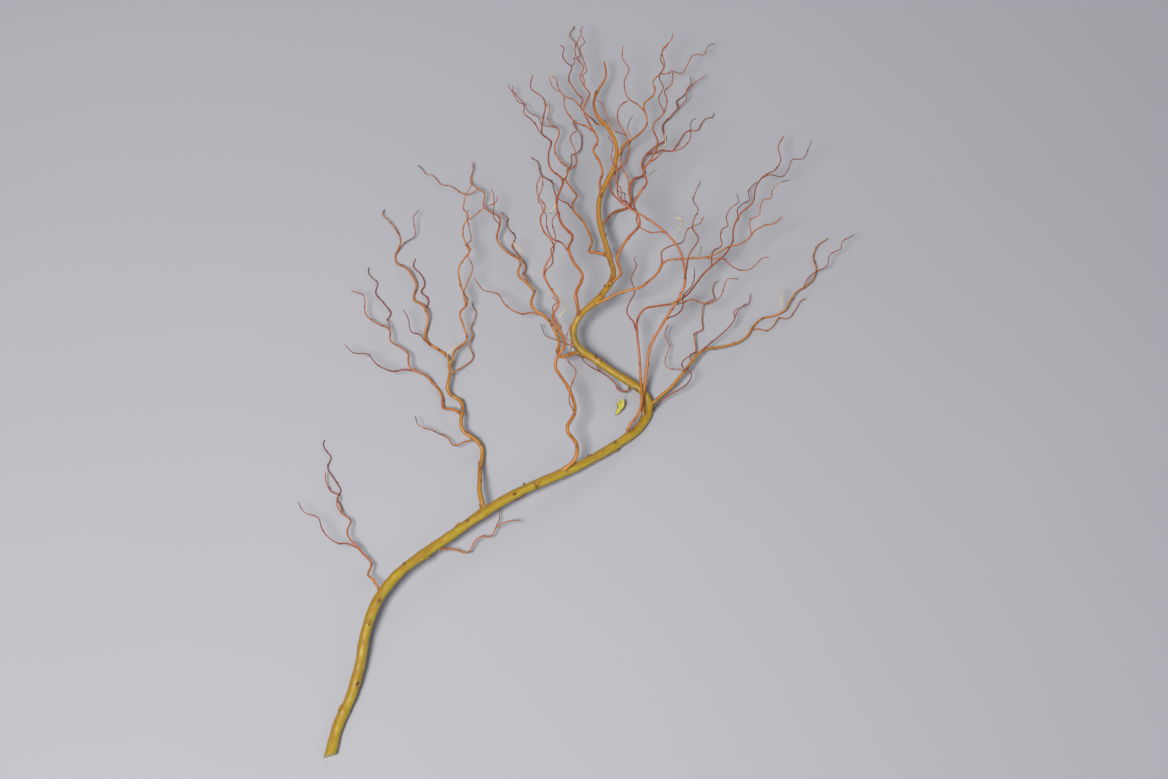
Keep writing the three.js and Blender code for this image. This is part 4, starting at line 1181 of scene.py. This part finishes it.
def add_stub(gather, axis, at, side, length, radius, draw):
    """A stub of a twig that died and broke off: it narrows a little and ends ragged."""
    index, heading, out = seat_on(axis, at, side)
    along = fork_from(heading, side, draw(40, 62))
    across = unit(np.cross(along, heading))
    over = np.cross(across, along)
    foot = axis.points[index] + out * axis.radii[index] * 0.8
    stations = []
    for share, wide in STUB_STATIONS:
        ragged = np.array([draw(-0.2, 0.2) for _ in EIGHTHS]) * (share > 0.6) * radius
        ring = oval(across, over, wide * radius, wide * radius)
        stations.append(foot + along * share * length + ring + np.outer(ragged, along))
    gather.add(stations, [(0.2 + 0.8 * at, 0.85 - 0.5 * at, 0.15 + 0.85 * at) for at, _ in STUB_STATIONS])


def add_scales(gather, axis, draw):
    """A few papery scales round the foot of a shoot."""
    along = unit(axis.points[3] - axis.points[0])
    reach = axis.parent.radii[axis.root] * 1.25 + 1.0
    size = 2.2 + 0.5 * axis.radii[0]
    for _ in range(SCALES):
        out = fork_from(along, draw(0, 360), 90)
        across = unit(np.cross(along, out))
        start = axis.points[0] + along * (reach + draw(-0.5, 1)) + out * axis.radii[0] * 1.2
        stations = []
        for share, wide in SCALE_STATIONS:
            middle = start + along * share * size + out * (0.25 + 0.9 * share**2) * draw(0.8, 1.1)
            stations.append(np.array([middle + across * e * wide * size + out * h for e, h in SCALE_BOW]))
        gather.add(stations, np.zeros((len(stations), 3)))


def make_buds(axes, buds, bud_shader, scale_shader):
    """The buds and stubs of the branch in one piece, and its papery scales in another."""
    draw = draws_from(77)
    grown, shed = Gather(), Gather()
    for group in buds.values():
        for bud in group:
            add_bud(grown, bud, draw)
    for name, stubs in STUBS.items():
        for stub in stubs:
            add_stub(grown, axes[name], *stub, draw)
    for axis in axes.values():
        if axis.parent is not None and draw(0, 1) < SCALED:
            add_scales(shed, axis, draw)
    piece("branch_buds", grown.mesh("branch_buds", bud_shader, "bud"))
    piece("branch_scales", shed.mesh("branch_scales", scale_shader, "scale"))


# ---- Leaves ----

LEAF_FINER = 4  # stations of a fine leaf to one of the CAD's
LEAF_COLUMNS = 13
STALK_HALF = 0.42  # half the width of a leaf's stalk
BLADE_FULL = 0.7  # how much wider than that the blade is where it is no longer stalk
MARGIN = dict(wave=1 / 2.6, teeth=1.9, tear=2.3)  # how fast its waves, teeth and tatters follow each other
RIB = dict(blade=0.1, high=0.28, wide=0.16, thinner=0.8)  # thickness of a blade, and more at its midrib
UPPER, LOWER = 0.4, 0.9  # how far the two sides are off the middle of the blade, as shares of its thickness
LEAF_LOW = 0.2  # least height of a leaf above the surface
PATTERN_SHIFT = 90  # how far the pattern of each leaf is from that of the next

# The torn leaf: the share of its length at the notch, how long the notch and the dead spot in it are, how
# much of its torn side is gone below the notch and at the tip, and the margin's value in the dead spot.
TEAR = dict(notch=0.6, reach=0.035, below=0.62, tip=0.4)
DEAD_SPOT = 4


def outline(share, stalk):
    """Half width along a leaf as a share of the widest: a narrow stalk, then a lance-shaped blade."""
    blade = np.clip((share - stalk) / (1 - stalk), 0, 1)
    return np.maximum(np.sin(math.pi * blade ** LEAF["skew"]), 0) ** LEAF["fullness"]


def torn_side(share, stalk, wave):
    """What is left of the torn side of a leaf: it widens straight from the stalk down to the notch, below
    which a ragged strip is gone."""
    straight = np.clip((share - stalk) / (TEAR["notch"] - stalk), 0, 1)
    margin = np.minimum(1, straight / np.maximum(outline(share, stalk), 0.01))
    gone = TEAR["below"] + (TEAR["tip"] - TEAR["below"]) * smoothstep(share, 0.75, 1.0)
    torn = smoothstep(share, TEAR["notch"], TEAR["notch"] + TEAR["reach"])
    return margin * (1 - gone * (1 + 0.2 * wave) * torn)


def turned(v, about, degrees):
    c, s = math.cos(math.radians(degrees)), math.sin(math.radians(degrees))
    return v * c + np.cross(about, v) * s + about * (about @ v) * (1 - c)


def leaf_spine(row, axis, lean):
    """The middle line of a leaf and the directions across and over it, station by station as in the CAD,
    and the place in the bark that its stalk comes from."""
    index, heading, out = seat_on(axis, row["at"], row["side"])
    along = fork_from(heading, row["side"], row["fork"])
    across = unit(np.cross(along, out))
    over = np.cross(across, along)
    across, over = turned(across, along, lean), turned(over, along, lean)
    off = LEAF["flat"] * axis.radii[index] + LEAF["gap"] + LEAF["thickness"] / 2
    centre = axis.points[index] + out * off
    count = LEAF["stations"]
    twist = row["turn"] / count
    stations = []
    for i in range(count + 1):
        stations.append((centre, across, over))
        bend = 2 * row["curl"] * i / count / count
        along, over = turned(along, across, bend), turned(over, across, bend)
        across, over = turned(across, along, twist), turned(over, along, twist)
        centre = centre + along * row["length"] / count
    foot = axis.points[index] + out * axis.radii[index] * 0.55
    return foot, *np.array(stations).transpose(1, 0, 2)


def fine_spine(row, axis, lean):
    """The share of a leaf's length at each of its fine stations, its middle line and the directions across
    and over it. Two more stations lead into the bark."""
    foot, centres, acrosses, overs = leaf_spine(row, axis, lean)
    middle = spline(centres, LEAF_FINER)
    share = np.linspace(0, 1, len(middle))
    station = np.linspace(0, 1, len(centres))
    across, over = (
        np.stack([np.interp(share, station, v[:, k]) for k in range(3)], -1) for v in (acrosses, overs)
    )
    across = unit(across)
    over = unit(over - across * (over * across).sum(1, keepdims=True))
    middle = np.vstack([foot, (foot + middle[0]) / 2, middle])
    rows = [0, 0, *range(len(share))]
    return share[rows, None], middle[:, None], across[rows, None], over[rows, None]


def blade_marks(row, share, half, e, number, torn):
    """What a leaf's colour depends on, at each vertex: how far across and along it, and how near its
    margin."""
    across = half * e
    along = share * row["length"] + number * PATTERN_SHIFT
    margin = np.maximum(np.abs(e) ** 3, smoothstep(share, 0.8, 1.0))
    if torn:
        below = (share > TEAR["notch"]) & (share < 1)
        spot = np.exp(-(((share - TEAR["notch"] - 1.6 * TEAR["reach"]) / TEAR["reach"]) ** 2))
        margin = np.where(e > 0, margin * (1 + 1.2 * below), margin)
        margin = np.maximum(margin, DEAD_SPOT * spot * smoothstep(e, 0.2, 0.7))
    return np.stack(np.broadcast_arrays(across, along, margin), -1).reshape(-1, 3)


def make_leaf(row, axis, material, slot, number):
    """A thin leaf on a stalk that comes out of the bark, with a midrib and a waved and toothed edge."""
    kind = LEAF_KINDS[slot]
    phase = draws_from(number + 31)(0, 6)
    share, middle, across, over = fine_spine(row, axis, kind["lean"])
    along = share * row["length"]
    half = row["width"] / 2 * outline(share, kind["stalk"])
    half = np.maximum(STALK_HALF, half * (1 + kind["teeth"] * np.abs(np.sin(along * MARGIN["teeth"]))))
    blade = smoothstep(half, STALK_HALF, STALK_HALF + BLADE_FULL)
    e = np.linspace(-1, 1, LEAF_COLUMNS)
    cup = math.radians(kind["cup"])
    reach = np.sin(e * cup) / cup
    if kind["torn"]:
        left = torn_side(share, kind["stalk"], np.sin(along * MARGIN["tear"] + phase))
        reach = np.where(e > 0, left * reach, reach)
    ripple = kind["wave"] * np.sin(along * MARGIN["wave"] + phase) * np.sign(e) * e**2
    lift = blade * half * ((1 - np.cos(e * cup)) / cup + ripple / half.max())
    rib = RIB["high"] * np.exp(-((e / RIB["wide"]) ** 2)) * (1 - RIB["thinner"] * share)
    stalk = STALK_HALF * 0.85 * np.sqrt(np.clip(1 - e**2, 0.02, 1))
    thick = np.where(blade > 0.4, RIB["blade"] + rib, stalk)[..., None]
    base = middle + across * (half * reach)[..., None] + over * lift[..., None]
    top = base + over * thick * UPPER
    under = base - over * thick * LOWER
    ring = np.concatenate([top, under[:, ::-1]], 1)
    ring[..., 2] = np.maximum(ring[..., 2], LEAF_LOW)
    marks = blade_marks(row, share, half, np.concatenate([e, e[::-1]]), number, kind["torn"])
    mesh = smooth_mesh(row["name"], *loft(ring), material, "blade", marks)
    piece(row["name"] + "_blade", mesh, [row["name"]])


def make_leaves(axes):
    materials = {slot: leaf_material(slot, *look) for slot, look in LEAF_LOOKS.items()}
    for number, row in enumerate(LEAVES):
        slot = row["name"].rstrip("_0123456789")
        make_leaf(row, axes[row["on"]], materials[slot], slot, number + 1)


# ---- Floor, light and camera ----

SKY = dict(colour=(200, 202, 211), strength=0.32)
FLOOR_REACH = 30.0  # from the middle of the floor to its edge
FLOOR_FADE = (1.3, 5.0)  # the floor turns into the sky between these distances, in metres
LAMPS = {
    "key": dict(place=(-0.95, -1.3, 3.0), size=1.1, watts=104, colour=(1.0, 0.985, 0.96)),
    "fill": dict(place=(2.4, -1.6, 2.0), size=2.2, watts=9, colour=(0.96, 0.97, 1.0)),
    "back": dict(place=(0.2, 2.8, 1.8), size=1.6, watts=14, colour=(1, 1, 1)),
}
CAMERA = dict(elevation=67, lens=75, sensor=36, distance=3.53, aim=(0.003, -0.053, 0.05))


def floor_material():
    """A plain pale floor, very slightly uneven in tone, that fades into the sky far from the branch."""
    sh = Shader("floor", Roughness=0.75)
    place = sh.place()
    sh.base = sh.mix(sh.noise(place, 1.1, 3), (174, 175, 181), (180, 180, 186))
    sh.finish(sh.noise(place, 260, 3), 0.0002, strength=0.25)
    haze = sh.node("ShaderNodeEmission", {"Color": linear(SKY["colour"]), "Strength": SKY["strength"]})
    far = sh.between(sh.length(place), *FLOOR_FADE)
    seen = sh.node("ShaderNodeMixShader", {0: far, 1: sh.surface.outputs[0], 2: haze.outputs[0]})
    sh.feed(sh.tree.nodes["Material Output"].inputs["Surface"], seen.outputs[0])
    return sh.material


def make_stage():
    """A wide floor and a pale sky round it."""
    reach = FLOOR_REACH
    mesh = bpy.data.meshes.new("floor")
    corners = [(-reach, -reach, 0), (reach, -reach, 0), (reach, reach, 0), (-reach, reach, 0)]
    mesh.from_pydata(corners, [], [(0, 1, 2, 3)])
    mesh.materials.append(floor_material())
    floor = add_object("floor", mesh)
    world = bpy.data.worlds.new("studio")
    world.use_nodes = True
    sky = world.node_tree.nodes["Background"]
    sky.inputs["Color"].default_value = linear(SKY["colour"])
    sky.inputs["Strength"].default_value = SKY["strength"]
    bpy.context.scene.world = world
    bpy.context.scene.view_settings.view_transform = "Standard"


def make_lamp(name, place, size, watts, colour):
    """A round soft lamp that shines at the middle of the floor."""
    lamp = bpy.data.lights.new(name, "AREA")
    lamp.shape = "DISK"
    lamp.size = size
    lamp.energy = watts
    lamp.color = colour
    add_object(name, lamp, place, back=Vector(place))


def make_camera():
    """A camera that looks down on the branch from the side of its cut end, which is at the bottom of the
    picture."""
    data = bpy.data.cameras.new("camera")
    data.lens = CAMERA["lens"]
    data.sensor_width = CAMERA["sensor"]
    up = math.radians(CAMERA["elevation"])
    back = Vector((0, -math.cos(up), math.sin(up)))
    place = Vector(CAMERA["aim"]) + back * CAMERA["distance"]
    camera = add_object("camera", data, place, back)
    bpy.context.scene.camera = camera


def main():
    make_camera()
    make_stage()
    for name, lamp in LAMPS.items():
        make_lamp(name, **lamp)
    axes, twigs = grow()
    buds = {"stem": stem_buds(axes["stem"])}
    for number, axis in enumerate([*list(axes.values())[1:], *twigs]):
        buds[axis.name] = shoot_buds(axis, number + 1)
    make_wood(axes, twigs, buds, bark_material(), cut_material())
    make_buds(axes, buds, bud_material(), scale_material())
    make_leaves(axes)


main()
